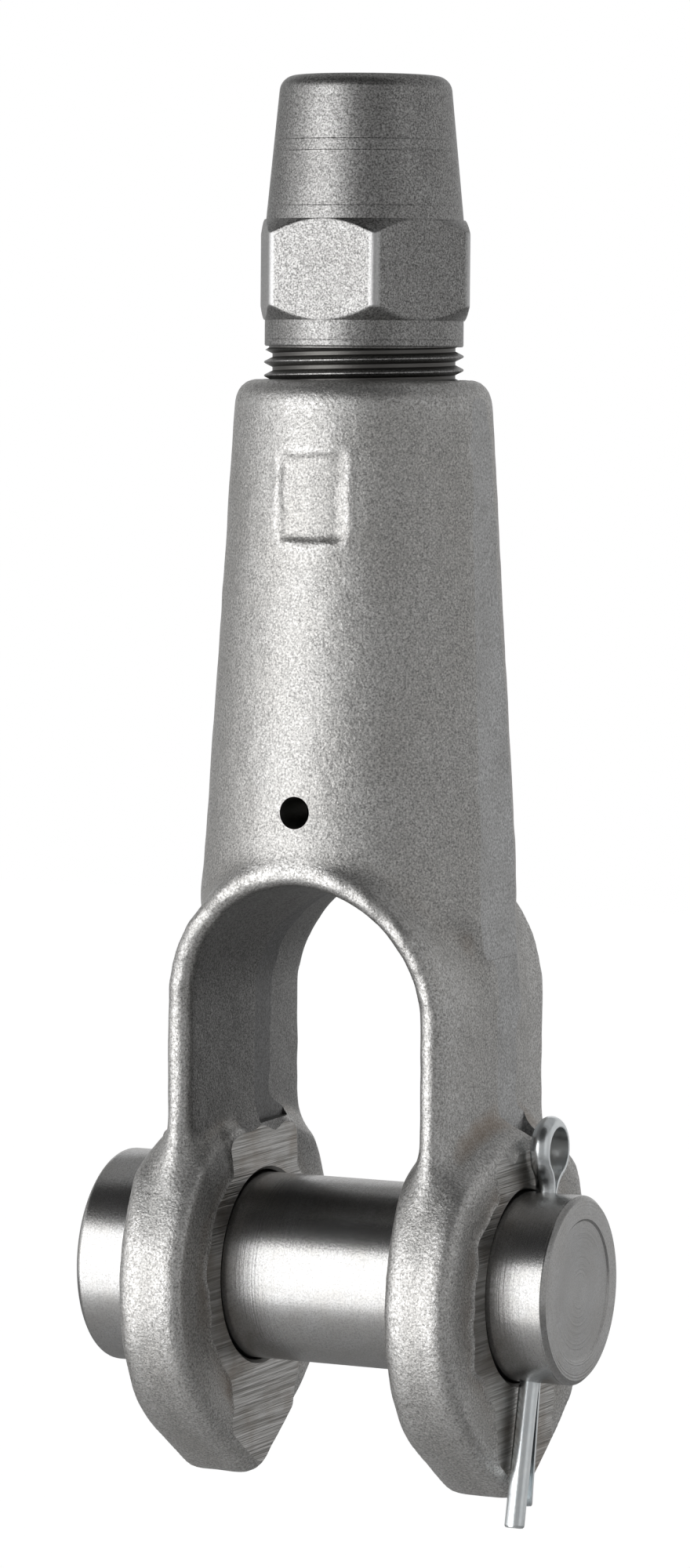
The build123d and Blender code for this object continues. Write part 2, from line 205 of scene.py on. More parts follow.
# Trimmed flash: its front border down the outside as height and y, its lips, its torn edges, and
# the bumps left standing on one side, as height and how far they stand out
TRIM_BORDER = (
    (19.2, 3.9), (23.0, -1.8), (30.0, -1.7), (35.0, -1.95), (40.5, -1.8),
    (43.0, -2.4), (45.5, -4.6), (48.0, -5.4), (52.0, -5.9),
)
TRIM_Z = (19.2, 45.5)
TRIM_REAR = 8.0
TRIM_DEPTH = 0.42
TRIM_POINTS = 30
TRIM_TEAR = 0.22
LIP_LEVEL = 0.65
LIP_MOST = 1.6
BARREL_LIP = 0.1
BARREL_LIP_WIDTH = 0.1
BARREL_LIP_X = (14, 16)
BARREL_LIP_Z = (47, 50)
LEG_LIP = 0.12
LEG_LIP_WIDTH = 0.4
LEG_LIP_Y = -1.75
LEG_LIP_X = (18, 19.5)
LEG_LIP_BOTTOM = (21, 24)
LEG_LIP_TOP = (45, 42)
FLAT_BOTTOM = 44.0
FLAT_RIM = 1.0
FLAT_BUMPS = (
    (117.1, 0.0), (116.7, 0.3), (116.2, 0.38), (115.7, 0.3), (115.2, 0.0),
    (97.6, 0.0), (97.0, 0.22), (96.4, 0.26), (95.8, 0.0),
)
ARCH_TRIM_DEPTH = 0.5
ARCH_TRIM_BOTTOM = 19.6
ARCH_TRIM_Y = (-0.95, 9.0)
ARCH_TEAR = 0.2

# Legs that the dies left a little to the front, between these heights
LEG_SHIFT = 0.5
LEG_SHIFT_BOTTOM = (14, 23)
LEG_SHIFT_TOP = (60, 48)

voxel_transform = openvdb.createLinearTransform(voxelSize=VOXEL)
grid_low = [math.floor(v / VOXEL) for v in GRID_LOW]
grid_high = [math.ceil(v / VOXEL) for v in GRID_HIGH]
grid_shape = tuple(b - a + 1 for a, b in zip(grid_low, grid_high))
grid_axes = [
    ((low + np.arange(count)) * VOXEL).astype(np.float32) for low, count in zip(grid_low, grid_shape)
]
X = grid_axes[0][:, None, None]
Y = grid_axes[1][None, :, None]
Z = grid_axes[2][None, None, :]
AX = np.abs(X)
AY = np.abs(Y)


# Forged skin of the socket, as a field of distances on the grid
def field_from_mesh(points, triangles, quads):
    grid = openvdb.FloatGrid.createLevelSetFromPolygons(
        points.astype(np.float32),
        triangles=triangles,
        quads=quads,
        transform=voxel_transform,
        halfWidth=BAND,
    )
    field = np.empty(grid_shape, np.float32)
    grid.copyToArray(field, ijk=tuple(grid_low))
    return field


def mesh_from_field(field, level):
    grid = openvdb.FloatGrid(VOXEL * BAND)
    grid.transform = voxel_transform
    grid.copyFromArray(field, ijk=tuple(grid_low))
    grid.gridClass = openvdb.GridClass.LEVEL_SET
    return grid.convertToPolygons(isovalue=level, adaptivity=0)


def rebuilt(field, level):
    """The field measured again from its own surface at a level, and shifted back."""
    return field_from_mesh(*mesh_from_field(field, level)) + level


def merged(*fields):
    return functools.reduce(np.minimum, fields)


def shared(*fields):
    return functools.reduce(np.maximum, fields)


def smooth_step(low, high, value):
    t = np.clip((value - low) / (high - low), 0, 1)
    return t * t * (3 - 2 * t)


def softened(field, passes):
    """The field with the steps of its grid smoothed out."""
    for _ in range(passes):
        for axis in range(3):
            field = (np.roll(field, 1, axis) + 2 * field + np.roll(field, -1, axis)) / 4
    return field


def spline_weights(count, cell):
    """Weights that blend a coarse row of numbers smoothly over the fine grid."""
    place = np.arange(count) * VOXEL / cell
    first = np.floor(place).astype(int)
    t = place - first
    weights = np.zeros((count, first.max() + 4), np.float32)
    parts = ((1 - t) ** 3, 3 * t**3 - 6 * t**2 + 4, -3 * t**3 + 3 * t**2 + 3 * t + 1, t**3)
    for step, part in enumerate(parts):
        weights[np.arange(count), first + step] = part / 6
    return weights


def lumps(cell, seed):
    """Smooth random lumps about cell millimetres across, one deep on average."""
    rows = [spline_weights(count, cell) for count in grid_shape]
    coarse = np.random.default_rng(seed).standard_normal([w.shape[1] for w in rows]).astype(np.float32)
    out = np.tensordot(rows[0], coarse, (1, 0))
    out = np.tensordot(out, rows[1], (1, 1)).transpose(0, 2, 1)
    out = np.tensordot(out, rows[2], (2, 1))
    return out / out.std()


def roughened(field, layers):
    for depth, width, seed in layers:
        field = field + depth * lumps(width, seed)
    return field


def flash_flat_x(z):
    return FLAT_TOP + (BARREL_TOP - z) * math.tan(FLAT_TAPER)


def cone_radius(z):
    return BARREL_TOP_RADIUS + (BARREL_TOP - z) * math.tan(BARREL_TAPER)


def trim_border(z):
    """Front border of the trimmed band that runs down the outside, as y at a height."""
    return np.interp(z, *zip(*TRIM_BORDER))


def vertex_vectors(source, key):
    values = np.empty(len(source) * 3, np.float32)
    source.foreach_get(key, values)
    return values.reshape(-1, 3)


def node_arrays(name):
    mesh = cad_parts[name].data
    mesh.calc_loop_triangles()
    triangles = np.empty(len(mesh.loop_triangles) * 3, np.int32)
    mesh.loop_triangles.foreach_get("vertices", triangles)
    return vertex_vectors(mesh.vertices, "co") / MM, triangles.reshape(-1, 3)


def leg_faces():
    """Distances past the drafted outer and inner faces of both legs, positive outside the metal."""
    outer = AX * math.cos(OUTSIDE_DRAFT) + AY * math.sin(OUTSIDE_DRAFT) - ARCH_OUTER * math.cos(OUTSIDE_DRAFT)
    inner = ARCH_INNER * math.cos(INSIDE_DRAFT) + AY * math.sin(INSIDE_DRAFT) - AX * math.cos(INSIDE_DRAFT)
    return outer, inner


def ear_outline():
    """Distance past the outline of an ear seen along the pin, positive outside it."""
    z = Z + EAR_RIM_DROP
    tip_height = -(EAR_RIM_RADIUS - EAR_TIP_RADIUS) / math.sin(EAR_FLANK)
    along = AY * math.sin(EAR_FLANK) + z * math.cos(EAR_FLANK)
    flank = AY * math.cos(EAR_FLANK) - z * math.sin(EAR_FLANK) - EAR_RIM_RADIUS
    rim = np.sqrt(AY * AY + z * z) - EAR_RIM_RADIUS
    tip = np.sqrt(AY * AY + (z - tip_height) ** 2) - EAR_TIP_RADIUS
    tip_along = tip_height * math.cos(EAR_FLANK)
    return np.where(along > 0, rim, np.where(along > tip_along, flank, tip))


def neck_hollow(face, core, edge):
    """The hollow over an ear on one side, negative inside it, turned about an axis under the pin.

    It starts on the face at the height edge and runs in to the core."""
    side = 1.0 if face > core else -1.0
    turned_height = np.sqrt(Y * Y + (Z + NECK_AXIS_DROP) ** 2)
    start = Vector((face * side, edge + NECK_AXIS_DROP))
    end = Vector((core * side, edge + NECK_AXIS_DROP + NECK_RISE))
    chord = end - start
    lift = math.sqrt(NECK_RADIUS**2 - (chord.length / 2) ** 2)
    away = Vector((chord.y, -chord.x)).normalized()
    centre = (start + end) / 2 + away * lift
    disc = np.sqrt((AX * side - centre.x) ** 2 + (turned_height - centre.y) ** 2) - NECK_RADIUS
    above = shared(centre.y - turned_height, end.x - AX * side)
    return merged(disc, above)


def filled_socket():
    """The solid socket with its bore, holes and cut sides filled again."""
    points, triangles = node_arrays("clevis_socket")
    no_quads = np.zeros((0, 4), np.uint32)
    solid = field_from_mesh(points, triangles.astype(np.uint32), no_quads)
    from_axis = np.sqrt(X * X + Y * Y)
    from_pin = np.sqrt(Y * Y + Z * Z)
    leg_outer, leg_inner = leg_faces()
    barrel = (from_axis - cone_radius(Z)) * math.cos(BARREL_TAPER)
    from_arch = np.sqrt(X * X + (Z - ARCH_HEIGHT) ** 2)
    arch_inner = ARCH_INNER * math.cos(INSIDE_DRAFT) + AY * math.sin(INSIDE_DRAFT)
    arch_inner = arch_inner - from_arch * math.cos(INSIDE_DRAFT)
    inmost, outmost = SIDE_FILL_X
    side = shared(
        barrel, AX - outmost, inmost - AX, trim_border(Z) - SIDE_FILL_MARGIN - Y, Y - SIDE_FILL_REAR,
        SIDE_FILL_BOTTOM - Z, Z - CAVITY_FLOOR - SIDE_FILL_OVERLAP,
    )
    return merged(
        solid,
        shared(barrel, CAVITY_FLOOR - Z, Z - BARREL_TOP + TOP_RIM),
        shared(from_axis - BORE_FILL, CAVITY_FLOOR - Z, Z - BARREL_TOP),
        side,
        shared(from_pin - PIN_FILL, EAR_INNER - AX, AX - EAR_OUTER),
        shared(leg_outer, leg_inner, AY - LEG_FILL_HALF, LEG_FILL_BOTTOM - Z, Z - ARCH_HEIGHT),
        shared(from_arch - ARCH_FILL, arch_inner, AY - ARCH_FILL_HALF, ARCH_HEIGHT - Z),
    )


def forged_skin():
    """The forging as it leaves the dies: all holes filled, hollows and edges rounded."""
    skin = filled_socket()
    leg_outer, leg_inner = leg_faces()
    under_arch = Z - ARCH_HEIGHT
    skin = shared(skin, -shared(neck_hollow(EAR_OUTER, *OUTER_NECK), -leg_outer, under_arch))
    skin = shared(skin, -shared(neck_hollow(EAR_INNER, *INNER_NECK), -leg_inner, under_arch))
    rear_bevel = (AX - EAR_INNER) / BEVEL_SLOPE - ear_outline() - BEVEL_START
    rear_bevel = rear_bevel - BEVEL_EXTRA * smooth_step(*BEVEL_EXTRA_Z, Z)
    rear_bevel = shared(rear_bevel * BEVEL_STEEPNESS, -Y, AX - EAR_MIDDLE, Z - BEVEL_TOP)
    skin = rebuilt(shared(skin, -rear_bevel), CONCAVE_RADIUS)
    return softened(rebuilt(skin, -CONVEX_RADIUS), SKIN_PASSES)


def ground_zone():
    """How far inside the border of an ear's ground face a place is, seen along the pin."""
    disc = GROUND_DISC - np.sqrt(Y * Y + (Z + GROUND_DISC_DROP) ** 2)
    strip = merged(GROUND_STRIP_HALF - AY, GROUND_STRIP_TOP - Z)
    return shared(disc, strip)


def flash_lips():
    """Height of the thin ragged lips that trimming left along the flash."""
    ragged = np.clip(roughened(LIP_LEVEL, LIP_LUMPS), 0, LIP_MOST)
    past_flat = AX - FLAT_TOP - (BARREL_TOP - Z) * math.tan(FLAT_TAPER)
    barrel_lip = np.exp(-(past_flat / BARREL_LIP_WIDTH) ** 2)
    barrel_lip = barrel_lip * smooth_step(*BARREL_LIP_X, AX) * smooth_step(*BARREL_LIP_Z, Z)
    leg_lip = np.exp(-((Y - LEG_LIP_Y) / LEG_LIP_WIDTH) ** 2) * smooth_step(*LEG_LIP_X, AX)
    leg_lip = leg_lip * smooth_step(*LEG_LIP_BOTTOM, Z) * smooth_step(*LEG_LIP_TOP, Z)
    return ragged * (BARREL_LIP * barrel_lip + LEG_LIP * leg_lip)


def face_recess():
    """How far the ears' forged faces lie under the ground ones, with metal left on for the grinder."""
    ground = smooth_step(-GROUND_BORDER, GROUND_BORDER, roughened(ground_zone(), GROUND_LUMPS))
    near_face = merged(np.abs(AX - EAR_INNER), np.abs(AX - EAR_OUTER))
    near_face = smooth_step(*FACE_REACH, near_face) * smooth_step(*FACE_TOP, Z)
    near_face = near_face * smooth_step(*FACE_RIM, ear_outline())
    return near_face * (FACE_RECESS - FACE_ALLOWANCE * ground)


def stamped_panel():
    """Depth of the stamped panel, with the metal that the stamp pushed up round it."""
    across = np.abs(X - PANEL_MIDDLE[0]) - PANEL_HALF[0]
    upward = np.abs(Z - PANEL_MIDDLE[1]) - PANEL_HALF[1]
    from_panel = roughened(shared(across, upward), PANEL_LUMPS)
    rim = np.exp(-((from_panel - PANEL_RIM_PLACE) / PANEL_RIM_WIDTH) ** 2)
    panel = PANEL_DEPTH * smooth_step(*PANEL_WALL, from_panel) - PANEL_RIM_HEIGHT * rim
    return panel * smooth_step(*PANEL_FRONT, Y)


def socket_skin_field():
    return roughened(forged_skin(), SKIN_LUMPS) - flash_lips() + face_recess() + stamped_panel()


def sampled(field, points):
    """The field read at points in millimetres, blended between its grid places."""
    place = points / VOXEL - np.array(grid_low)
    place = np.clip(place, 0, np.array(grid_shape) - 1.001)
    first = place.astype(int)
    part = place - first
    out = np.zeros(len(points))
    for corner in np.ndindex(2, 2, 2):
        weight = np.prod(np.where(corner, part, 1 - part), axis=1)
        at = first + corner
        out += weight * field[at[:, 0], at[:, 1], at[:, 2]]
    return out


# Meshes made in code
def new_object(name, points, faces, materials=()):
    mesh = bpy.data.meshes.new(name)
    mesh.from_pydata(np.asarray(points).tolist(), [], faces)
    piece = bpy.data.objects.new(name, mesh)
    for finish in materials:
        mesh.materials.append(finish)
    bpy.context.scene.collection.objects.link(piece)
    return piece


def turned(name, profile, axis="Z", segments=192, angles=None, shape=None):
    """A closed solid turned about Z or X from a profile of (radius, place) points.

    The profile starts and ends on the axis. shape(radius, place, angles) may change each radius."""
    angles = np.linspace(0, 2 * math.pi, segments, endpoint=False) if angles is None else angles
    count = len(angles)
    points = []
    faces = []
    rows = len(profile) - 2
    for radius, place in profile[1:-1]:
        radii = np.full(count, radius) if shape is None else shape(radius, place, angles)
        ring = np.stack([radii * np.cos(angles), radii * np.sin(angles), np.full(count, place)], axis=1)
        points.append(ring)
    points = np.concatenate(points + [np.array([[0, 0, profile[0][1]], [0, 0, profile[-1][1]]])])
    for row in range(rows - 1):
        for i in range(count):
            j = (i + 1) % count
            faces.append((row * count + i, row * count + j, (row + 1) * count + j, (row + 1) * count + i))
    for i in range(count):
        j = (i + 1) % count
        faces.append((rows * count, j, i))
        faces.append((rows * count + 1, (rows - 1) * count + i, (rows - 1) * count + j))
    if axis == "X":
        points = points[:, [2, 0, 1]]
    piece = new_object(name, points, faces)
    face_outwards(piece)
    return piece


def prism(name, outline, low, high, axis="Y"):
    """A solid drawn from an outline: across Y it is given as (x, z), along X as (y, z).

    Its low end is one place, or one for each point of the outline."""
    count = len(outline)
    lows = np.broadcast_to(low, count)
    points = [(a, b, start) for (a, b), start in zip(outline, lows)] + [(a, b, high) for a, b in outline]
    faces = [tuple(range(count)), tuple(range(2 * count - 1, count - 1, -1))]
    faces += [(i, (i + 1) % count, (i + 1) % count + count, i + count) for i in range(count)]
    points = np.array(points)[:, [0, 2, 1]] if axis == "Y" else np.array(points)[:, [2, 0, 1]]
    piece = new_object(name, points, faces)
    face_outwards(piece)
    return piece


def face_outwards(piece):
    shape = bmesh.new()
    shape.from_mesh(piece.data)
    bmesh.ops.recalc_face_normals(shape, faces=shape.faces)
    shape.to_mesh(piece.data)
    shape.free()


def joined(piece, tool, operation="DIFFERENCE", finish=None):
    """The piece with a tool cut from it, added to it or kept in common; the tool is used up."""
    tool.data.materials.clear()
    for material in piece.data.materials:
        tool.data.materials.append(material)
    if finish is not None:
        tool.data.polygons.foreach_set("material_index", [finish] * len(tool.data.polygons))
    step = piece.modifiers.new(operation, "BOOLEAN")
    step.object = tool
    step.operation = operation
    step.solver = "MANIFOLD"
    graph = bpy.context.evaluated_depsgraph_get()
    mesh = bpy.data.meshes.new_from_object(piece.evaluated_get(graph))
    piece.modifiers.remove(step)
    before = piece.data
    piece.data = mesh
    mesh.name = before.name
    bpy.data.meshes.remove(before)
    bpy.data.objects.remove(tool)
    return piece


def smooth_between_edges(piece, angle, soft_finish=None):
    """Smooth shading that stops at sharp edges and where the finish changes.

    Inside the soft finish no edge counts as sharp."""
    shape = bmesh.new()
    shape.from_mesh(piece.data)
    for face in shape.faces:
        face.smooth = True
    for edge in shape.edges:
        if len(edge.link_faces) == 2:
            first, second = edge.link_faces
            changes = first.material_index != second.material_index
            soft = first.material_index == soft_finish
            edge.smooth = not (changes or (edge.calc_face_angle(0) > angle and not soft))
    shape.to_mesh(piece.data)
    shape.free()


def finish_piece(piece, body, node):
    piece.data.transform(Matrix.Scale(MM, 4))
    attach(piece, body)
    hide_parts(node)


def rounded_profile(points, steps=6):
    """Profile points with the corners that carry a radius turned into arcs."""
    out = []
    for number, point in enumerate(points):
        if len(point) == 2:
            out.append(tuple(point))
            continue
        corner = Vector(point[:2])
        back = (Vector(points[number - 1][:2]) - corner).normalized()
        ahead = (Vector(points[number + 1][:2]) - corner).normalized()
        half = back.angle(ahead) / 2
        reach = point[2] / math.tan(half)
        centre = corner + (back + ahead).normalized() * (point[2] / math.sin(half))
        start = corner + back * reach - centre
        swing = math.pi - 2 * half
        turn = 1 if back.x * ahead.y - back.y * ahead.x < 0 else -1
        for step in range(steps + 1):
            angle = turn * swing * step / steps
            spun = Vector((
                start.x * math.cos(angle) - start.y * math.sin(angle),
                start.x * math.sin(angle) + start.y * math.cos(angle),
            ))
            out.append(tuple(centre + spun))
    return out


# Node materials. Patterns read the object's own coordinates, in millimetres
def add_node(tree, kind, inputs=None, **settings):
    made = tree.nodes.new(kind)
    for key, value in settings.items():
        setattr(made, key, value)
    for key, value in (inputs or {}).items():
        socket = made.inputs[key]
        if isinstance(value, bpy.types.NodeSocket):
            tree.links.new(value, socket)
        else:
            socket.default_value = value
    return made


def new_steel(name, roughness):
    steel = bpy.data.materials.new(name)
    steel.use_nodes = True
    tree = steel.node_tree
    shader = tree.nodes["Principled BSDF"]
    shader.inputs["Metallic"].default_value = 1.0
    shader.inputs["Roughness"].default_value = roughness
    place = add_node(tree, "ShaderNodeTexCoord").outputs["Object"]
    place = add_node(tree, "ShaderNodeVectorMath", {0: place, 3: 1 / MM}, operation="SCALE").outputs[0]
    return steel, tree, shader, place


def noise(tree, place, size, detail=2.0, roughness=0.5):
    """Noise from 0 to 1 whose lumps are about size millimetres across."""
    inputs = {"Vector": place, "Scale": 1 / size, "Detail": detail, "Roughness": roughness}
    return add_node(tree, "ShaderNodeTexNoise", inputs).outputs[0]


def stretched(tree, place, scale, turn=0.0):
    """The place with each axis scaled, after a turn about X."""
    inputs = {"Vector": place, "Rotation": (turn, 0.0, 0.0), "Scale": scale}
    return add_node(tree, "ShaderNodeMapping", inputs).outputs[0]


def calc(tree, operation, first, second=0.0, third=0.0):
    return add_node(tree, "ShaderNodeMath", {0: first, 1: second, 2: third}, operation=operation).outputs[0]


def layered(tree, *layers):
    """Heights in millimetres, each the product of a pattern and a depth, added up."""
    pattern, depth = layers[0]
    height = calc(tree, "MULTIPLY", pattern, depth)
    for pattern, depth in layers[1:]:
        height = calc(tree, "MULTIPLY_ADD", pattern, depth, height)
    return height


def ramp(tree, value, low, high, to_low=0.0, to_high=1.0):
    inputs = {"Value": value, "From Min": low, "From Max": high, "To Min": to_low, "To Max": to_high}
    return add_node(tree, "ShaderNodeMapRange", inputs).outputs[0]


def tint(tree, amount, first, second):
    """Colour that goes from the first to the second as amount goes from 0 to 1."""
    inputs = {0: amount, 6: first, 7: second}
    return add_node(tree, "ShaderNodeMix", inputs, data_type="RGBA").outputs[2]


def grey(level, warmth=0.0):
    return (level * (1 + warmth), level, level * (1 - 1.6 * warmth), 1.0)


def raise_grain(tree, shader, height):
    """Bump from a height in millimetres."""
    bump = add_node(tree, "ShaderNodeBump", {"Height": height, "Distance": MM})
    tree.links.new(bump.outputs[0], shader.inputs["Normal"])


def turned_rings(tree, place, axis, across, fine, seed):
    """Fine rings of a lathe tool along one axis, as a height from 0 to 1 with a little waver."""
    scale = [across, across, across]
    scale["XYZ".index(axis)] = 1 / fine
    moved = add_node(tree, "ShaderNodeVectorMath", {0: place, 1: (seed, seed, seed)}, operation="ADD")
    return noise(tree, stretched(tree, moved.outputs[0], scale), 1.0, 3.0, 0.65)


def axis_distance(tree, parts, axis):
    """Distance from the Z or the X axis."""
    across = {"Z": (0, 1), "X": (1, 2)}[axis]
    flat = add_node(tree, "ShaderNodeCombineXYZ", {i: parts.outputs[i] for i in across}).outputs[0]
    return add_node(tree, "ShaderNodeVectorMath", {0: flat}, operation="LENGTH").outputs["Value"]


def read_attribute(tree, name):
    return add_node(tree, "ShaderNodeAttribute", attribute_name=name).outputs["Fac"]


# Colours of the finishes, the slant of the grinder's lines, and the sleeve's score lines
RUST_BROWN = (0.27, 0.205, 0.15, 1.0)
BURNT_BROWN = (0.25, 0.2, 0.155, 1.0)
DULL_ZINC = (0.8, 0.84, 0.86, 1.0)
BRIGHT_ZINC = (0.9, 0.93, 0.94, 1.0)
STAIN_Z = (60.0, 50.0)
GRIND_TURN = math.radians(-38)
SCRATCH_TURN = math.radians(-33)
SCORE_LINES = (152.9, 151.4, 144.1, 126.3)
SCORE_HALF = (0.12, 0.02)
SCORE_DEPTH = -0.035


def forged_steel():
    """Blasted grey, with dark pits, rubbed edges, rust in the hollows and painted shade inside the yoke."""
    steel, tree, shader, place = new_steel("blasted_forging", 0.5)
    pebbles = noise(tree, place, 0.36, 2.0, 0.65)
    shot = add_node(tree, "ShaderNodeTexVoronoi", {"Vector": place, "Scale": 2.4}, feature="SMOOTH_F1")
    swells = noise(tree, place, 1.5, 1.0)
    height = layered(tree, (pebbles, 0.066), (shot.outputs["Distance"], 0.014), (swells, 0.06))
    raise_grain(tree, shader, height)
    hollow = read_attribute(tree, "hollow")
    patches = noise(tree, place, 12.0, 4.0)
    speckle = noise(tree, place, 0.27, 2.0, 0.8)
    base = tint(tree, ramp(tree, patches, 0.35, 0.65), grey(0.7, 0.02), grey(0.78, 0.012))
    base = tint(tree, ramp(tree, speckle, 0.32, 0.68), grey(0.23, 0.016), base)
    worn = ramp(tree, hollow, -0.06, -0.22)
    rubbed = calc(tree, "MULTIPLY", worn, ramp(tree, noise(tree, place, 0.4, 3.0, 0.7), 0.48, 0.62))
    base = tint(tree, calc(tree, "MULTIPLY", rubbed, 0.7), base, grey(0.74, 0.006))
    height_up = add_node(tree, "ShaderNodeSeparateXYZ", {0: place}).outputs[2]
    stain = calc(tree, "MULTIPLY", ramp(tree, hollow, 0.03, 0.22), ramp(tree, patches, 0.3, 0.6))
    stain = calc(tree, "MULTIPLY", stain, ramp(tree, height_up, *STAIN_Z, 0.0, 0.6))
    base = tint(tree, stain, base, RUST_BROWN)
    # Painted shade: faces inside the yoke are darkened towards a near-black grey where little light reaches
    # them
    yoke_shade_colour = tint(tree, ramp(tree, speckle, 0.35, 0.65), grey(0.1, 0.01), grey(0.33, 0.01))
    base = tint(tree, calc(tree, "MULTIPLY", read_attribute(tree, "painted_yoke_shade"), 0.88), base, yoke_shade_colour)
    tree.links.new(base, shader.inputs["Base Color"])
    gloss = calc(tree, "MULTIPLY_ADD", rubbed, -0.12, ramp(tree, patches, 0.2, 0.8, 0.46, 0.54))
    tree.links.new(gloss, shader.inputs["Roughness"])
    return steel


def trimmed_steel(name, share):
    """Sheared metal with drag marks down the strand, its grey taken down to a share; a share below 1 is
    painted shade.
    """
    steel, tree, shader, place = new_steel(name, 0.47)
    pebbles = noise(tree, place, 0.8, 2.0, 0.55)
    drag = noise(tree, stretched(tree, place, (2.0, 2.0, 0.12)), 1.0, 3.0, 0.6)
    raise_grain(tree, shader, layered(tree, (pebbles, 0.03), (drag, 0.03)))
    patches = noise(tree, place, 7.0, 3.0)
    speckle = noise(tree, place, 0.3, 2.0, 0.75)
    base = tint(tree, ramp(tree, patches, 0.35, 0.65), grey(0.58 * share, 0.004), grey(0.7 * share, -0.004))
    base = tint(tree, ramp(tree, speckle, 0.3, 0.64), grey(0.25 * share, 0.006), base)
    tree.links.new(base, shader.inputs["Base Color"])
    return steel


def ground_steel():
    """Coarse lines of the grinder on a slant, with brown patches."""
    steel, tree, shader, place = new_steel("ground_faces", 0.34)
    lines = noise(tree, stretched(tree, place, (1, 0.05, 2.6), GRIND_TURN), 1.0, 3.0, 0.6)
    scratches = noise(tree, stretched(tree, place, (1, 0.12, 6.0), SCRATCH_TURN), 1.0, 2.0, 0.6)
    raise_grain(tree, shader, layered(tree, (lines, 0.16), (scratches, 0.05)))
    patches = noise(tree, place, 6.0, 3.0)
    base = tint(tree, ramp(tree, lines, 0.38, 0.6), grey(0.3, 0.035), grey(0.62, 0.015))
    brown = ramp(tree, patches, 0.42, 0.66)
    base = tint(tree, calc(tree, "MULTIPLY", brown, 0.5), base, BURNT_BROWN)
    tree.links.new(base, shader.inputs["Base Color"])
    return steel


def lathe_steel(name, roughness, rings, depth, dark, light):
    """Plain turned or bored steel: rings given as (across, fine, seed) and a depth."""
    steel, tree, shader, place = new_steel(name, roughness)
    raise_grain(tree, shader, layered(tree, (turned_rings(tree, place, "Z", *rings), depth)))
    base = tint(tree, noise(tree, place, 3.0, 3.0), dark, light)
    tree.links.new(base, shader.inputs["Base Color"])
    return steel


def bored_steel(name):
    return lathe_steel(name, 0.4, (0.2, 0.35, 3.0), 0.03, grey(0.24, 0.03), grey(0.36, 0.02))


def plug_steel():
    return lathe_steel("turned_plug", 0.38, (0.02, 0.3, 9.0), 0.015, grey(0.4, 0.01), grey(0.48, 0.01))


def sleeve_steel():
    """Satin grey with score lines, light hexagon corners and painted shade in the thread's roots."""
    steel, tree, shader, place = new_steel("satin_sleeve", 0.4)
    grain = noise(tree, place, 0.24, 2.0, 0.8)
    rings = turned_rings(tree, place, "Z", 0.02, 0.5, 5.0)
    parts = add_node(tree, "ShaderNodeSeparateXYZ", {0: place})
    height = layered(tree, (grain, 0.028), (rings, 0.02))
    for line in SCORE_LINES:
        away = calc(tree, "ABSOLUTE", calc(tree, "SUBTRACT", parts.outputs[2], line))
        height = calc(tree, "MULTIPLY_ADD", ramp(tree, away, *SCORE_HALF), SCORE_DEPTH, height)
    raise_grain(tree, shader, height)
    patches = noise(tree, place, 5.0, 3.0)
    base = tint(tree, ramp(tree, patches, 0.3, 0.7), grey(0.52, 0.012), grey(0.6, 0.008))
    base = tint(tree, ramp(tree, grain, 0.36, 0.7), grey(0.13, 0.012), base)
    radius = axis_distance(tree, parts, "Z")
    corner = ramp(tree, radius, HEX_CORNER_RADIUS - 0.3, HEX_CORNER_RADIUS, 0.0, 0.7)
    base = tint(tree, corner, base, grey(0.8))
    # Painted shade: the thread's roots below the collar are darkened
    thread_root_shade = ramp(tree, radius, THREAD_RADIUS - 0.2, THREAD_RADIUS - 0.8)
    below = ramp(tree, parts.outputs[2], COLLAR_BOTTOM + 0.2, COLLAR_BOTTOM - 0.2)
    base = tint(tree, calc(tree, "MULTIPLY", thread_root_shade, below), base, grey(0.13, 0.03))
    tree.links.new(base, shader.inputs["Base Color"])
    return steel


def pin_steel():
    """Bright turned steel, with rings round the shank and others on the end face."""
    steel, tree, shader, place = new_steel("turned_pin", 0.27)
    rings = turned_rings(tree, place, "X", 0.015, 0.22, 7.0)
    grain = noise(tree, place, 0.3, 2.0, 0.6)
    parts = add_node(tree, "ShaderNodeSeparateXYZ", {0: place})
    outward = calc(tree, "MULTIPLY", axis_distance(tree, parts, "X"), 2.4)
    facing = add_node(tree, "ShaderNodeCombineXYZ", {0: outward}).outputs[0]
    at_end = ramp(tree, parts.outputs[0], PIN_END - 0.9, PIN_END - 0.5)
    end_rings = calc(tree, "MULTIPLY", noise(tree, facing, 1.0, 3.0, 0.65), at_end)
    raise_grain(tree, shader, layered(tree, (rings, 0.02), (grain, 0.012), (end_rings, 0.05)))
    patches = noise(tree, place, 4.0, 3.0)
    base = tint(tree, ramp(tree, patches, 0.3, 0.7), grey(0.46, 0.02), grey(0.54))
    base = tint(tree, calc(tree, "MULTIPLY", ramp(tree, rings, 0.52, 0.72), 0.45), base, grey(0.3))
    speckle = noise(tree, place, 0.24, 2.0, 0.8)
    base = tint(tree, ramp(tree, speckle, 0.34, 0.56), grey(0.35, 0.01), base)
    tree.links.new(base, shader.inputs["Base Color"])
    return steel


def zinc_wire():
    steel, tree, shader, place = new_steel("bright_zinc_wire", 0.26)
    drawn = noise(tree, place, 0.5, 3.0, 0.6)
    raise_grain(tree, shader, layered(tree, (drawn, 0.02)))
    patches = noise(tree, place, 1.6, 2.0)
    base = tint(tree, ramp(tree, patches, 0.3, 0.7), DULL_ZINC, BRIGHT_ZINC)
    tree.links.new(base, shader.inputs["Base Color"])
    return steel


# Socket: the forged skin, then its cuts. WIDE is how far the cutting solids reach, PAST how far
# they go beyond a face
FORGED, GROUND, BORED, TRIMMED, TRIMMED_SHADED_INSIDE = range(5)
WIDE = 40.0
PAST = 1.0
JAW_TOP = 24.0
OUTSIDE_TOP = 30.0
LEG_STEPS = 26
ARCH_STEPS = 65
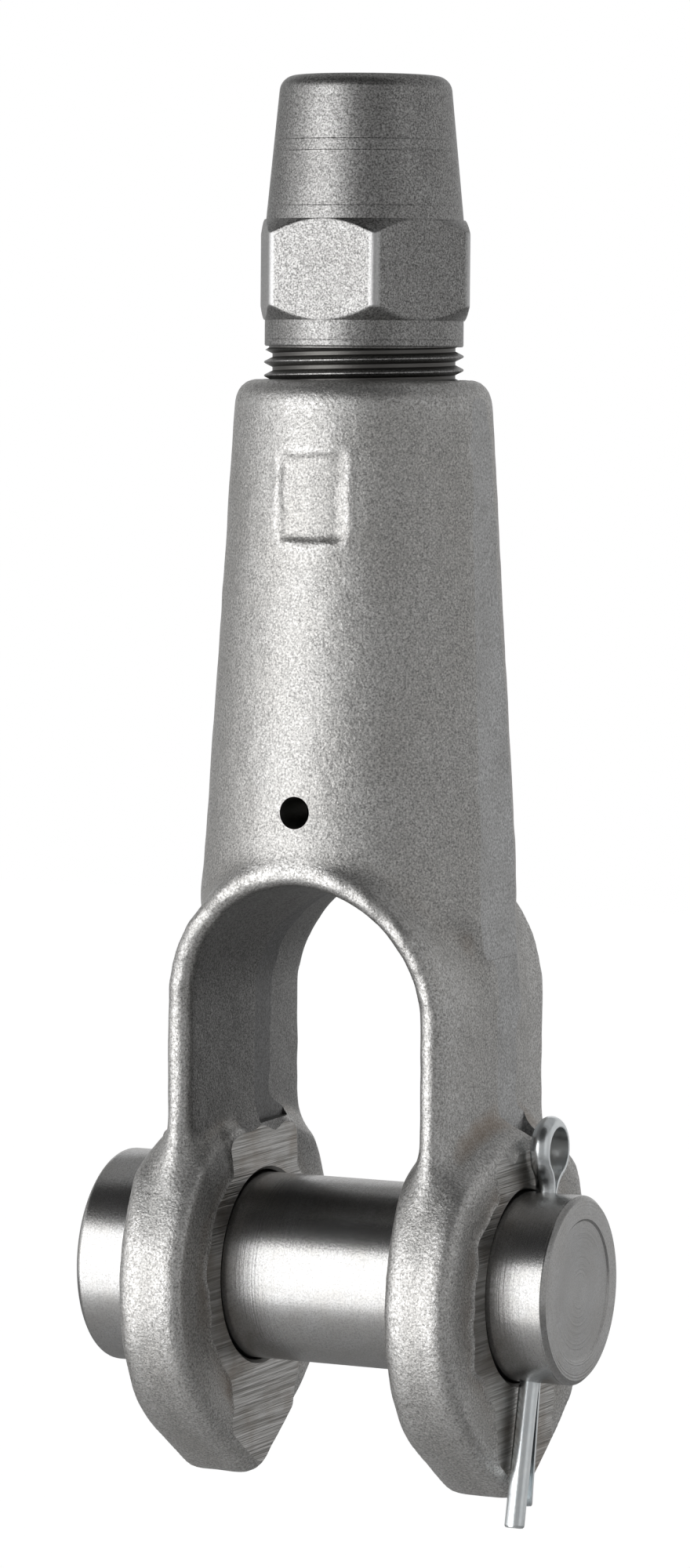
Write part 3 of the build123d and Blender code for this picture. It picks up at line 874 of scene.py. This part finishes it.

# Painted shade inside the yoke: how squarely a face looks in, how near the leg's middle it is, how deep
# in the leg and how high. Each pair is where the painted shade starts and where it is whole
FACING_IN = (0.86, 0.97)
MIDDLE_REACH = (7, 6)
DEPTH_IN_LEG = (1.8, 1.0)
SHELTER_Z = (4, 18)


def raw_forging(field):
    points, triangles, quads = mesh_from_field(field, 0)
    faces = [tuple(f) for f in triangles.tolist()] + [tuple(f) for f in quads.tolist()]
    points = np.array(points, dtype=float)
    height = points[:, 2]
    points[:, 1] -= LEG_SHIFT * smooth_step(*LEG_SHIFT_BOTTOM, height) * smooth_step(*LEG_SHIFT_TOP, height)
    finishes = [forged_steel(), ground_steel(), bored_steel("drilled_and_bored")]
    # The copy for the inside of the yoke is taken down to 0.4 of its grey as painted shade
    finishes += [trimmed_steel("trimmed_flash", 1.0), trimmed_steel("trimmed_flash_painted_shade", 0.4)]
    piece = new_object("forging", points, faces, finishes)
    piece.data.flip_normals()
    return piece


def cut_jaw(piece):
    jaw = [(-EAR_INNER, -WIDE), (EAR_INNER, -WIDE), (EAR_INNER, JAW_TOP), (-EAR_INNER, JAW_TOP)]
    joined(piece, prism("jaw", jaw, -WIDE, WIDE), finish=GROUND)


def cut_side(piece, side):
    """Grinds the ear's outer face and trims the flash from the barrel and the leg, on one side."""
    outside = [(EAR_OUTER, -WIDE), (WIDE, -WIDE), (WIDE, OUTSIDE_TOP), (EAR_OUTER, OUTSIDE_TOP)]
    outside = [(side * x, z) for x, z in outside]
    joined(piece, prism("outside_face", outside, -WIDE, WIDE), finish=GROUND)
    flat_end = BARREL_TOP - FLAT_RIM
    flat = [(flash_flat_x(FLAT_BOTTOM), FLAT_BOTTOM), (WIDE, FLAT_BOTTOM), (WIDE, flat_end)]
    flat.append((flash_flat_x(flat_end), flat_end))
    if side < 0:
        flat += [(flash_flat_x(z) + proud, z) for z, proud in FLAT_BUMPS]
    flat = [(side * x, z) for x, z in flat]
    joined(piece, prism("barrel_flash", flat, -WIDE, WIDE), finish=TRIMMED)
    bottom, top = TRIM_Z
    heights = np.linspace(bottom, top, TRIM_POINTS)
    torn = np.random.default_rng(61).uniform(-TRIM_TEAR, TRIM_TEAR, TRIM_POINTS)
    trim = [(TRIM_REAR, top), (TRIM_REAR, bottom)] + [(trim_border(z) + t, z) for z, t in zip(heights, torn)]
    low, high = sorted((side * (ARCH_OUTER - TRIM_DEPTH), side * WIDE))
    joined(piece, prism("leg_flash", trim, low, high, "X"), finish=TRIMMED)


def trim_arch(piece):
    """Trims the flash round the inside of the yoke, up one leg, over the arch and down the other."""
    radius = ARCH_INNER + ARCH_TRIM_DEPTH
    leg = np.linspace(ARCH_TRIM_BOTTOM, ARCH_HEIGHT, LEG_STEPS, endpoint=False)
    round_arch = np.linspace(0, math.pi, ARCH_STEPS)
    band = [(radius, z) for z in leg]
    band += [(radius * math.cos(a), ARCH_HEIGHT + radius * math.sin(a)) for a in round_arch]
    band += [(-radius, z) for z in leg[::-1]]
    torn = np.random.default_rng(62).uniform(-ARCH_TEAR, ARCH_TEAR, len(band))
    front, rear = ARCH_TRIM_Y
    # The band inside the yoke takes the darker copy, painted shade
    joined(piece, prism("arch_flash", band, front + torn, rear), finish=TRIMMED_SHADED_INSIDE)


def drill_holes(piece):
    flare = PIN_HOLE_RADIUS + PIN_HOLE_CHAMFER + PAST
    hole = [(0, -WIDE)]
    for low, high in ((-EAR_OUTER, -EAR_INNER), (EAR_INNER, EAR_OUTER)):
        hole += [
            (flare, low - PAST), (PIN_HOLE_RADIUS, low + PIN_HOLE_CHAMFER),
            (PIN_HOLE_RADIUS, high - PIN_HOLE_CHAMFER), (flare, high + PAST),
        ]
    hole.append((0, WIDE))
    joined(piece, turned("pin_hole", hole, "X"), finish=BORED)
    bore = rounded_profile([
        (0, CAVITY_FLOOR), (DRILL_RADIUS, CAVITY_FLOOR, CAVITY_ROUND), (DRILL_RADIUS, THREAD_FLOOR),
        (BORE_RADIUS, THREAD_FLOOR), (BORE_RADIUS, BARREL_TOP - BORE_CHAMFER),
        (BORE_RADIUS + BORE_CHAMFER + PAST, BARREL_TOP + PAST), (0, BARREL_TOP + PAST),
    ])
    joined(piece, turned("bore", bore), finish=BORED)
    outer, inner = SIGHT_REACH
    sight = [(0, outer), (SIGHT_RADIUS, outer), (SIGHT_RADIUS, inner), (0, inner)]
    drill = turned("sight_hole", sight, "X", 64)
    drill.data.transform(Matrix.Rotation(math.pi / 2, 4, "Z"))
    drill.data.transform(Matrix.Translation((0, 0, SIGHT_HEIGHT)))
    joined(piece, drill, finish=BORED)


def shelter(spots, normals):
    """How much a place faces the inside of the yoke, where little light comes, from 0 to 1; the forging's
    colour is darkened by it as painted shade.
    """
    over = np.maximum(spots[:, 2] - ARCH_HEIGHT, 0)
    reach = np.hypot(spots[:, 0], over)
    inward = -(spots[:, 0] * normals[:, 0] + over * normals[:, 2]) / np.maximum(reach, 1)
    from_middle = np.abs(spots[:, 1])
    past_inside = reach - ARCH_INNER - from_middle * math.tan(INSIDE_DRAFT)
    inward = np.maximum(smooth_step(*FACING_IN, inward), smooth_step(*MIDDLE_REACH, from_middle))
    return inward * smooth_step(*DEPTH_IN_LEG, past_inside) * smooth_step(*SHELTER_Z, spots[:, 2])


def build_socket():
    field = socket_skin_field()
    piece = raw_forging(field)
    cut_jaw(piece)
    for side in (-1, 1):
        cut_side(piece, side)
    trim_arch(piece)
    drill_holes(piece)
    smooth_between_edges(piece, math.radians(30), soft_finish=FORGED)
    mesh = piece.data
    spots = vertex_vectors(mesh.vertices, "co")
    normals = vertex_vectors(mesh.vertex_normals, "vector")
    hollow = sampled(field - softened(field, GENTLE_PASSES), spots)
    # The share of painted shade inside the yoke is stored on each point, beside the hollows
    for name, values in (("hollow", hollow), ("painted_yoke_shade", shelter(spots, normals))):
        share = mesh.attributes.new(name, "FLOAT", "POINT")
        share.data.foreach_set("value", values.astype(np.float32))
    finish_piece(piece, "clevis", "clevis_socket")


# Sleeve with its hexagon and thread
HEX_SOFT_EDGE = 0.2
HEX_RINGS = (133.6, 135.6, 137.6)
CHAMFER_STEPS = 30
JUST_ABOVE = 0.001
NOSE_FACE_RADIUS = 7.2
COLLAR_ROUND = 0.25
CORE_RADIUS = 11.8
CORE_DEPTH = 20
SHANK_TOP_RADIUS = 12.75
THREAD_SEGMENTS = 96
THREAD_CREST_ROUND = 0.14
THREAD_OVERRUN = 3
THREAD_START = 1.1
THREAD_END = (0.6, 0.2)
STRAND_MOUTH = 0.8


def helix_thread():
    """A solid right-hand thread of 60 degrees, to be trimmed by the sleeve's own profile."""
    root = THREAD_RADIUS - THREAD_DEPTH
    shoulder = THREAD_RADIUS - THREAD_CREST_ROUND
    tooth = [(0.0, root), (0.13, root), (0.4, shoulder), (0.46, THREAD_RADIUS)]
    tooth += [(0.54, THREAD_RADIUS), (0.6, shoulder), (0.87, root)]
    turns = math.ceil((COLLAR_BOTTOM + THREAD_OVERRUN - SLEEVE_BOTTOM) / THREAD_PITCH) + 2
    low = SLEEVE_BOTTOM - 1.5 * THREAD_PITCH
    rows = [(low + (t + share) * THREAD_PITCH, r) for t in range(turns) for share, r in tooth]
    step = len(tooth)
    points = []
    for z, r in rows:
        for i in range(THREAD_SEGMENTS):
            angle = 2 * math.pi * i / THREAD_SEGMENTS
            lift = THREAD_PITCH * i / THREAD_SEGMENTS
            points.append((r * math.cos(angle), r * math.sin(angle), z + lift))
    faces = []
    last = len(rows) - 1
    seam = THREAD_SEGMENTS - 1
    for m in range(last):
        for i in range(seam):
            a = m * THREAD_SEGMENTS + i
            faces.append((a, a + 1, a + 1 + THREAD_SEGMENTS, a + THREAD_SEGMENTS))
        if m + 1 + step <= last:
            a = m * THREAD_SEGMENTS + seam
            above = (m + step) * THREAD_SEGMENTS
            faces.append((a, above, above + THREAD_SEGMENTS, a + THREAD_SEGMENTS))
    points += [(0, 0, low - THREAD_PITCH), (0, 0, rows[-1][0] + 2 * THREAD_PITCH)]
    foot = list(range(THREAD_SEGMENTS)) + [m * THREAD_SEGMENTS for m in range(step, 0, -1)]
    crown = [last * THREAD_SEGMENTS + i for i in range(THREAD_SEGMENTS)]
    crown += [(last - m) * THREAD_SEGMENTS + seam for m in range(1, step + 1)]
    for loop, centre in ((foot, len(points) - 2), (crown, len(points) - 1)):
        faces += [(a, b, centre) for a, b in zip(loop, loop[1:] + loop[:1])]
    piece = new_object("thread", points, faces)
    face_outwards(piece)
    return piece


def soft_min(first, second, blend):
    """The smaller of two radii, with the corner between them rounded."""
    near = np.maximum(blend - np.abs(first - second), 0)
    return np.minimum(first, second) - near**2 / (4 * blend)


def hexagon_radii(radius, place, angles):
    if not HEX_BOTTOM <= place <= HEX_TOP:
        return np.full(len(angles), radius)
    from_flat = np.radians(np.degrees(angles) % 60 - 30)
    return soft_min(radius, HEX_WIDTH / 2 / np.cos(from_flat), HEX_SOFT_EDGE)


def hexagon_angles():
    """Angles round the sleeve, closer together at the six corners."""
    flat_share = np.linspace(-26, 26, 40, endpoint=False)
    corner_share = np.linspace(26, 34, 24, endpoint=False)
    sector = np.concatenate([flat_share, corner_share]) + 30
    return np.radians(np.concatenate([sector + 60 * k for k in range(6)]))


def sleeve_profile():
    """Core, collar, chamfered hexagon and tapered nose, from the bottom up."""
    core_bottom = COLLAR_BOTTOM - CORE_DEPTH
    rise = np.linspace(0, HEX_CHAMFER, CHAMFER_STEPS)
    corner = soft_min(HEX_WIDTH / 2 + rise, HEX_CORNER_RADIUS, HEX_SOFT_EDGE)
    profile = rounded_profile([
        (0, core_bottom), (CORE_RADIUS, core_bottom), (CORE_RADIUS, COLLAR_BOTTOM),
        (COLLAR_RADIUS, COLLAR_BOTTOM, COLLAR_ROUND), (COLLAR_RADIUS, HEX_BOTTOM),
    ])
    profile += [(r, HEX_BOTTOM + z) for r, z in zip(corner, rise)]
    profile += [(HEX_CORNER_RADIUS, z) for z in HEX_RINGS]
    profile += [(r, HEX_TOP - z) for r, z in zip(corner[::-1], rise[::-1])]
    foot, tip = NOSE_RADII
    nose = [(foot, HEX_TOP), (tip, NOSE_TOP, NOSE_ROUND), (NOSE_FACE_RADIUS, NOSE_TOP)]
    return profile + [(foot, HEX_TOP + JUST_ABOVE)] + rounded_profile(nose, 14)[1:] + [(0, NOSE_TOP)]


def build_sleeve():
    piece = turned("sleeve", sleeve_profile(), angles=hexagon_angles(), shape=hexagon_radii)
    piece.data.materials.append(sleeve_steel())
    piece.data.materials.append(bored_steel("sleeve_bore"))
    into_collar = COLLAR_BOTTOM + 1.5
    last_crest, shank_top = (COLLAR_BOTTOM - below for below in THREAD_END)
    trim = turned("thread_ends", [
        (0, SLEEVE_BOTTOM), (THREAD_RADIUS - THREAD_START, SLEEVE_BOTTOM),
        (THREAD_RADIUS, SLEEVE_BOTTOM + THREAD_START), (THREAD_RADIUS, last_crest),
        (SHANK_TOP_RADIUS, shank_top), (SHANK_TOP_RADIUS, into_collar), (0, into_collar),
    ])
    joined(piece, joined(helix_thread(), trim, "INTERSECT"), "UNION")
    cone = (CONE_RADIUS - STRAND_BORE_RADIUS) / (CONE_TOP - SLEEVE_BOTTOM)
    mouth = STRAND_BORE_RADIUS + STRAND_MOUTH + PAST
    bore = [
        (0, SLEEVE_BOTTOM - PAST), (CONE_RADIUS + cone * PAST, SLEEVE_BOTTOM - PAST),
        (STRAND_BORE_RADIUS, CONE_TOP), (STRAND_BORE_RADIUS, NOSE_TOP - STRAND_MOUTH),
        (mouth, NOSE_TOP + PAST), (0, NOSE_TOP + PAST),
    ]
    joined(piece, turned("sleeve_bore", bore), finish=1)
    smooth_between_edges(piece, math.radians(24))
    finish_piece(piece, "sleeve", "hex_sleeve")


# Clevis pin, with a shallow dish turned in its end
END_DISH_RADIUS = 9.6
END_DISH_EDGE = 0.3
END_DISH_DEPTHS = (0.2, 0.3)
PIN_HEAD_ROUND = 1.0
PIN_END_ROUND = 0.3
COTTER_HOLE_REACH = 20


def build_pin():
    head_top = PIN_HEAD - PIN_HEAD_THICKNESS
    dish_edge, dish_middle = (PIN_END - depth for depth in END_DISH_DEPTHS)
    profile = rounded_profile([
        (0, head_top), (PIN_HEAD_RADIUS, head_top, PIN_HEAD_ROUND),
        (PIN_HEAD_RADIUS, PIN_HEAD, PIN_HEAD_ROUND), (PIN_RADIUS, PIN_HEAD),
        (PIN_RADIUS, PIN_END - PIN_END_CHAMFER, PIN_END_ROUND),
        (PIN_RADIUS - PIN_END_CHAMFER, PIN_END, PIN_END_ROUND),
        (END_DISH_RADIUS, PIN_END), (END_DISH_RADIUS - END_DISH_EDGE, dish_edge), (0, dish_middle),
    ])
    piece = turned("pin", profile, "X", 256)
    piece.data.materials.append(pin_steel())
    reach = COTTER_HOLE_REACH
    hole = [(0, -reach), (COTTER_HOLE_RADIUS, -reach), (COTTER_HOLE_RADIUS, reach), (0, reach)]
    drill = turned("cotter_hole", hole, segments=64)
    drill.data.transform(Matrix.Rotation(-COTTER_TILT, 4, "X"))
    drill.data.transform(Matrix.Translation((COTTER_X, 0, 0)))
    joined(piece, drill)
    smooth_between_edges(piece, math.radians(30))
    finish_piece(piece, "pin", "clevis_pin")


# Cotter: its tips as steps along the wire and shares of its size, and its section's rounded edges
TIP_STEPS = (0.0, 0.06, 0.22, 0.45)
TIP_SIZES = (0.6, 0.86, 0.97, 1.0)
EDGE_ANGLE = 7
EDGE_ROUND = 0.07
ROUND_POINTS = 21


def direction(heading):
    return Vector((math.cos(heading), math.sin(heading)))


def cotter_route():
    """Places and headings of the wire's flat side, from the near leg's tip round the eye to the far one."""
    eye_height = PIN_RADIUS + EYE_RISE
    throat_turn = math.acos((WIRE_GAP + THROAT_RADIUS) / (EYE_RADIUS + THROAT_RADIUS))
    throat_rise = (EYE_RADIUS + THROAT_RADIUS) * math.sin(throat_turn)
    bend = LEG_BEND_RADIUS * LEG_SPREAD
    stem = eye_height - throat_rise + PIN_RADIUS
    steps = [
        ("run", NEAR_LEG - bend, 8), ("arc", LEG_BEND_RADIUS, LEG_SPREAD, 4), ("run", stem, 8),
        ("arc", THROAT_RADIUS, throat_turn, 14), ("arc", -EYE_RADIUS, math.pi + 2 * throat_turn, 72),
        ("arc", THROAT_RADIUS, throat_turn, 14), ("run", stem, 8),
        ("arc", LEG_BEND_RADIUS, LEG_SPREAD, 4), ("run", FAR_LEG - bend, 8),
    ]
    heading = math.pi / 2 - LEG_SPREAD
    aside = -WIRE_GAP - LEG_BEND_RADIUS * (1 - math.cos(LEG_SPREAD))
    foot = Vector((aside, -PIN_RADIUS - LEG_BEND_RADIUS * math.sin(LEG_SPREAD)))
    place = foot - direction(heading) * (NEAR_LEG - bend)
    route = [(place.copy(), heading)]
    for kind, *facts in steps:
        count = facts[-1]
        for _ in range(count):
            if kind == "run":
                place += direction(heading) * (facts[0] / count)
            else:
                turn = math.copysign(facts[1] / count, facts[0])
                chord = 2 * abs(facts[0]) * math.sin(abs(turn) / 2)
                heading += turn / 2
                place += direction(heading) * chord
                heading += turn / 2
            route.append((place.copy(), heading))
    return route


def tip_rings(place, heading, inward):
    """Rings that round off a tip, from the tip inwards; inward is 1 along the heading, -1 against."""
    return [
        (place + inward * step * direction(heading), heading, size)
        for step, size in zip(TIP_STEPS, TIP_SIZES)
    ]


def build_cotter():
    """Half-round wire: one section carried along the route, with its flat side on it."""
    arc = np.radians(np.linspace(EDGE_ANGLE, 180 - EDGE_ANGLE, ROUND_POINTS))
    section = [(WIRE_RADIUS * math.cos(a), WIRE_RADIUS * math.sin(a)) for a in arc]
    section += [(-WIRE_RADIUS + EDGE_ROUND, 0.0), (0.0, 0.0), (WIRE_RADIUS - EDGE_ROUND, 0.0)]
    along = Vector((0, math.cos(COTTER_TILT), -math.sin(COTTER_TILT)))
    up = Vector((0, math.sin(COTTER_TILT), math.cos(COTTER_TILT)))
    route = cotter_route()
    rings = tip_rings(*route[0], 1) + [(place, heading, 1.0) for place, heading in route[1:-1]]
    rings += tip_rings(*route[-1], -1)[::-1]
    points = []
    for place, heading, size in rings:
        left = Vector((-math.sin(heading), math.cos(heading)))
        for a, b in section:
            spot = place + left * (0.5 * WIRE_RADIUS * (1 - size) + b * size)
            spot = along * spot.x + up * spot.y
            points.append((COTTER_X + a * size, spot.y, spot.z))
    count = len(section)
    faces = [tuple(range(count)), tuple(range(len(points) - count, len(points)))]
    for row in range(len(rings) - 1):
        for i in range(count):
            j = (i + 1) % count
            low = row * count
            faces.append((low + i, low + j, low + count + j, low + count + i))
    piece = new_object("cotter", points, faces, [zinc_wire()])
    face_outwards(piece)
    smooth_between_edges(piece, math.radians(40))
    finish_piece(piece, "pin", "cotter_pin")


build_socket()
build_sleeve()
build_pin()
build_cotter()
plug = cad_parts["wedge_plug"]
plug.data.materials.clear()
plug.data.materials.append(plug_steel())

# Studio: a softbox, cards that only the metal mirrors, a pale floor and a white surround. A wall
# card is given by its two azimuths and its brightness
STUDIO_MIDDLE = Vector((0, 0, 65 * MM))
KEY_AZIMUTH = -29
KEY_ELEVATION = -3
KEY_SIZE = (0.86, 1.26)
KEY_LEVEL = 2.05
KEY_DISTANCE = 1.0
CARD_DISTANCE = 2.5
CARD_BOTTOM = -1.2
CARD_TOP = 1.4
CARD_STEPS = 12
CEILING = 2.4
CEILING_HALF = 2.6
WALL_LEVELS = (
    (-60, 5, 0.7), (5, 60, 0.34), (60, 90, 0.58), (90, 120, 0.46), (120, 140, 0.55),
    (140, 185, 0.56), (185, 225, 0.75), (225, 275, 0.42), (275, 300, 0.9),
)
UPPER_LEVELS = (("upper_card_front", -110, 70, 0.03), ("upper_card_back", 70, 250, 0.3))
CEILING_LEVELS = (("ceiling_front", -1, 0, 0.03), ("ceiling_back", 0, 1, 0.35))
FLOOR_DROP = 550.0 * MM
FLOOR_HALF = 6.0
FLOOR_GLOW = 1.2
FLOOR_GLOW_SHARE = 0.8
AMBIENT = 0.2


def heading_vector(azimuth, elevation=0.0):
    azimuth, elevation = math.radians(azimuth), math.radians(elevation)
    flat = math.cos(elevation)
    return Vector((flat * math.sin(azimuth), -flat * math.cos(azimuth), math.sin(elevation)))


def key_softbox():
    """A rectangular lamp whose face is as bright as KEY_LEVEL, where 1 is white."""
    lamp = bpy.data.lights.new("key_softbox", "AREA")
    lamp.shape = "RECTANGLE"
    lamp.size, lamp.size_y = KEY_SIZE
    lamp.energy = KEY_LEVEL * math.pi * KEY_SIZE[0] * KEY_SIZE[1]
    box = bpy.data.objects.new("key_softbox", lamp)
    away = heading_vector(KEY_AZIMUTH, KEY_ELEVATION)
    box.location = STUDIO_MIDDLE + away * KEY_DISTANCE
    box.rotation_euler = away.to_track_quat("Z", "Y").to_euler()
    bpy.context.scene.collection.objects.link(box)


def even_glow(name, level):
    finish = bpy.data.materials.new(name)
    finish.use_nodes = True
    tree = finish.node_tree
    glow = add_node(tree, "ShaderNodeEmission", {"Color": grey(level), "Strength": 1.0})
    tree.links.new(glow.outputs[0], tree.nodes["Material Output"].inputs[0])
    return finish


def mirrored_only(name, points, faces, level):
    """A grey card that only the metal mirrors."""
    board = new_object(name, points, faces, [even_glow(name, level)])
    board.visible_camera = False
    board.visible_shadow = False
    board.visible_diffuse = False


def card(name, low, high, bottom, top, level):
    """A card bent round the object from one azimuth to another, between two heights."""
    points = []
    for azimuth in np.linspace(low, high, CARD_STEPS + 1):
        foot = STUDIO_MIDDLE + heading_vector(azimuth) * CARD_DISTANCE
        points += [tuple(foot + Vector((0, 0, height))) for height in (bottom, top)]
    faces = [(2 * i, 2 * i + 2, 2 * i + 3, 2 * i + 1) for i in range(CARD_STEPS)]
    mirrored_only(name, points, faces, level)


def pale_floor():
    finish = bpy.data.materials.new("pale_floor")
    finish.use_nodes = True
    tree = finish.node_tree
    shader = tree.nodes["Principled BSDF"]
    shader.inputs["Base Color"].default_value = grey(0.9)
    shader.inputs["Roughness"].default_value = 0.9
    path = add_node(tree, "ShaderNodeLightPath")
    glow = add_node(tree, "ShaderNodeEmission", {"Color": WHITE, "Strength": FLOOR_GLOW})
    share = calc(tree, "MULTIPLY", path.outputs["Is Camera Ray"], FLOOR_GLOW_SHARE)
    mix = add_node(tree, "ShaderNodeMixShader", {0: share, 1: shader.outputs[0], 2: glow.outputs[0]})
    tree.links.new(mix.outputs[0], tree.nodes["Material Output"].inputs[0])
    return finish


def level_sheet(half, height, front=-1, back=1):
    """Corners and face of a flat sheet; front and back are shares of its half width."""
    corners = ((-1, front), (1, front), (1, back), (-1, back))
    return [(x * half, y * half, height) for x, y in corners], [(0, 1, 2, 3)]


def studio_world():
    world = bpy.data.worlds.new("studio")
    bpy.context.scene.world = world
    world.use_nodes = True
    tree = world.node_tree
    backdrop = tree.nodes["Background"]
    backdrop.inputs[0].default_value = WHITE
    path = add_node(tree, "ShaderNodeLightPath")
    seen = calc(tree, "MAXIMUM", path.outputs["Is Camera Ray"], path.outputs["Is Glossy Ray"])
    seen = calc(tree, "MAXIMUM", seen, path.outputs["Is Transmission Ray"])
    tree.links.new(ramp(tree, seen, 0, 1, AMBIENT, 1.0), backdrop.inputs[1])


def place_camera():
    side = Vector((math.cos(CAMERA_AZIMUTH), math.sin(CAMERA_AZIMUTH), 0))
    back = Vector((math.sin(CAMERA_AZIMUTH), -math.cos(CAMERA_AZIMUTH), 0))
    rise = Vector((0, 0, 1))
    ahead = -back * math.cos(CAMERA_PITCH) - rise * math.sin(CAMERA_PITCH)
    above = side.cross(ahead)
    right = side * math.cos(CAMERA_ROLL) + above * math.sin(CAMERA_ROLL)
    top = above * math.cos(CAMERA_ROLL) - side * math.sin(CAMERA_ROLL)
    camera = bpy.data.objects.new("camera", bpy.data.cameras.new("camera"))
    camera.data.lens = CAMERA_LENS
    camera.data.sensor_width = CAMERA_SENSOR
    camera.data.clip_start, camera.data.clip_end = CAMERA_REACH
    camera.matrix_world = Matrix((right, top, -ahead)).transposed().to_4x4()
    camera.location = back * CAMERA_DISTANCE + side * CAMERA_SIDE + rise * CAMERA_HEIGHT
    bpy.context.scene.collection.objects.link(camera)
    bpy.context.scene.camera = camera


key_softbox()
for number, (low, high, level) in enumerate(WALL_LEVELS):
    card("wall_card_%d" % number, low, high, CARD_BOTTOM, CARD_TOP, level)
for name, low, high, level in UPPER_LEVELS:
    card(name, low, high, CARD_TOP, CEILING, level)
for name, front, back, level in CEILING_LEVELS:
    mirrored_only(name, *level_sheet(CEILING_HALF, CEILING, front, back), level)
floor = new_object("floor", *level_sheet(FLOOR_HALF, cad_box[0][2] - FLOOR_DROP), [pale_floor()])
studio_world()
place_camera()
bpy.context.scene.view_settings.view_transform = "Standard"
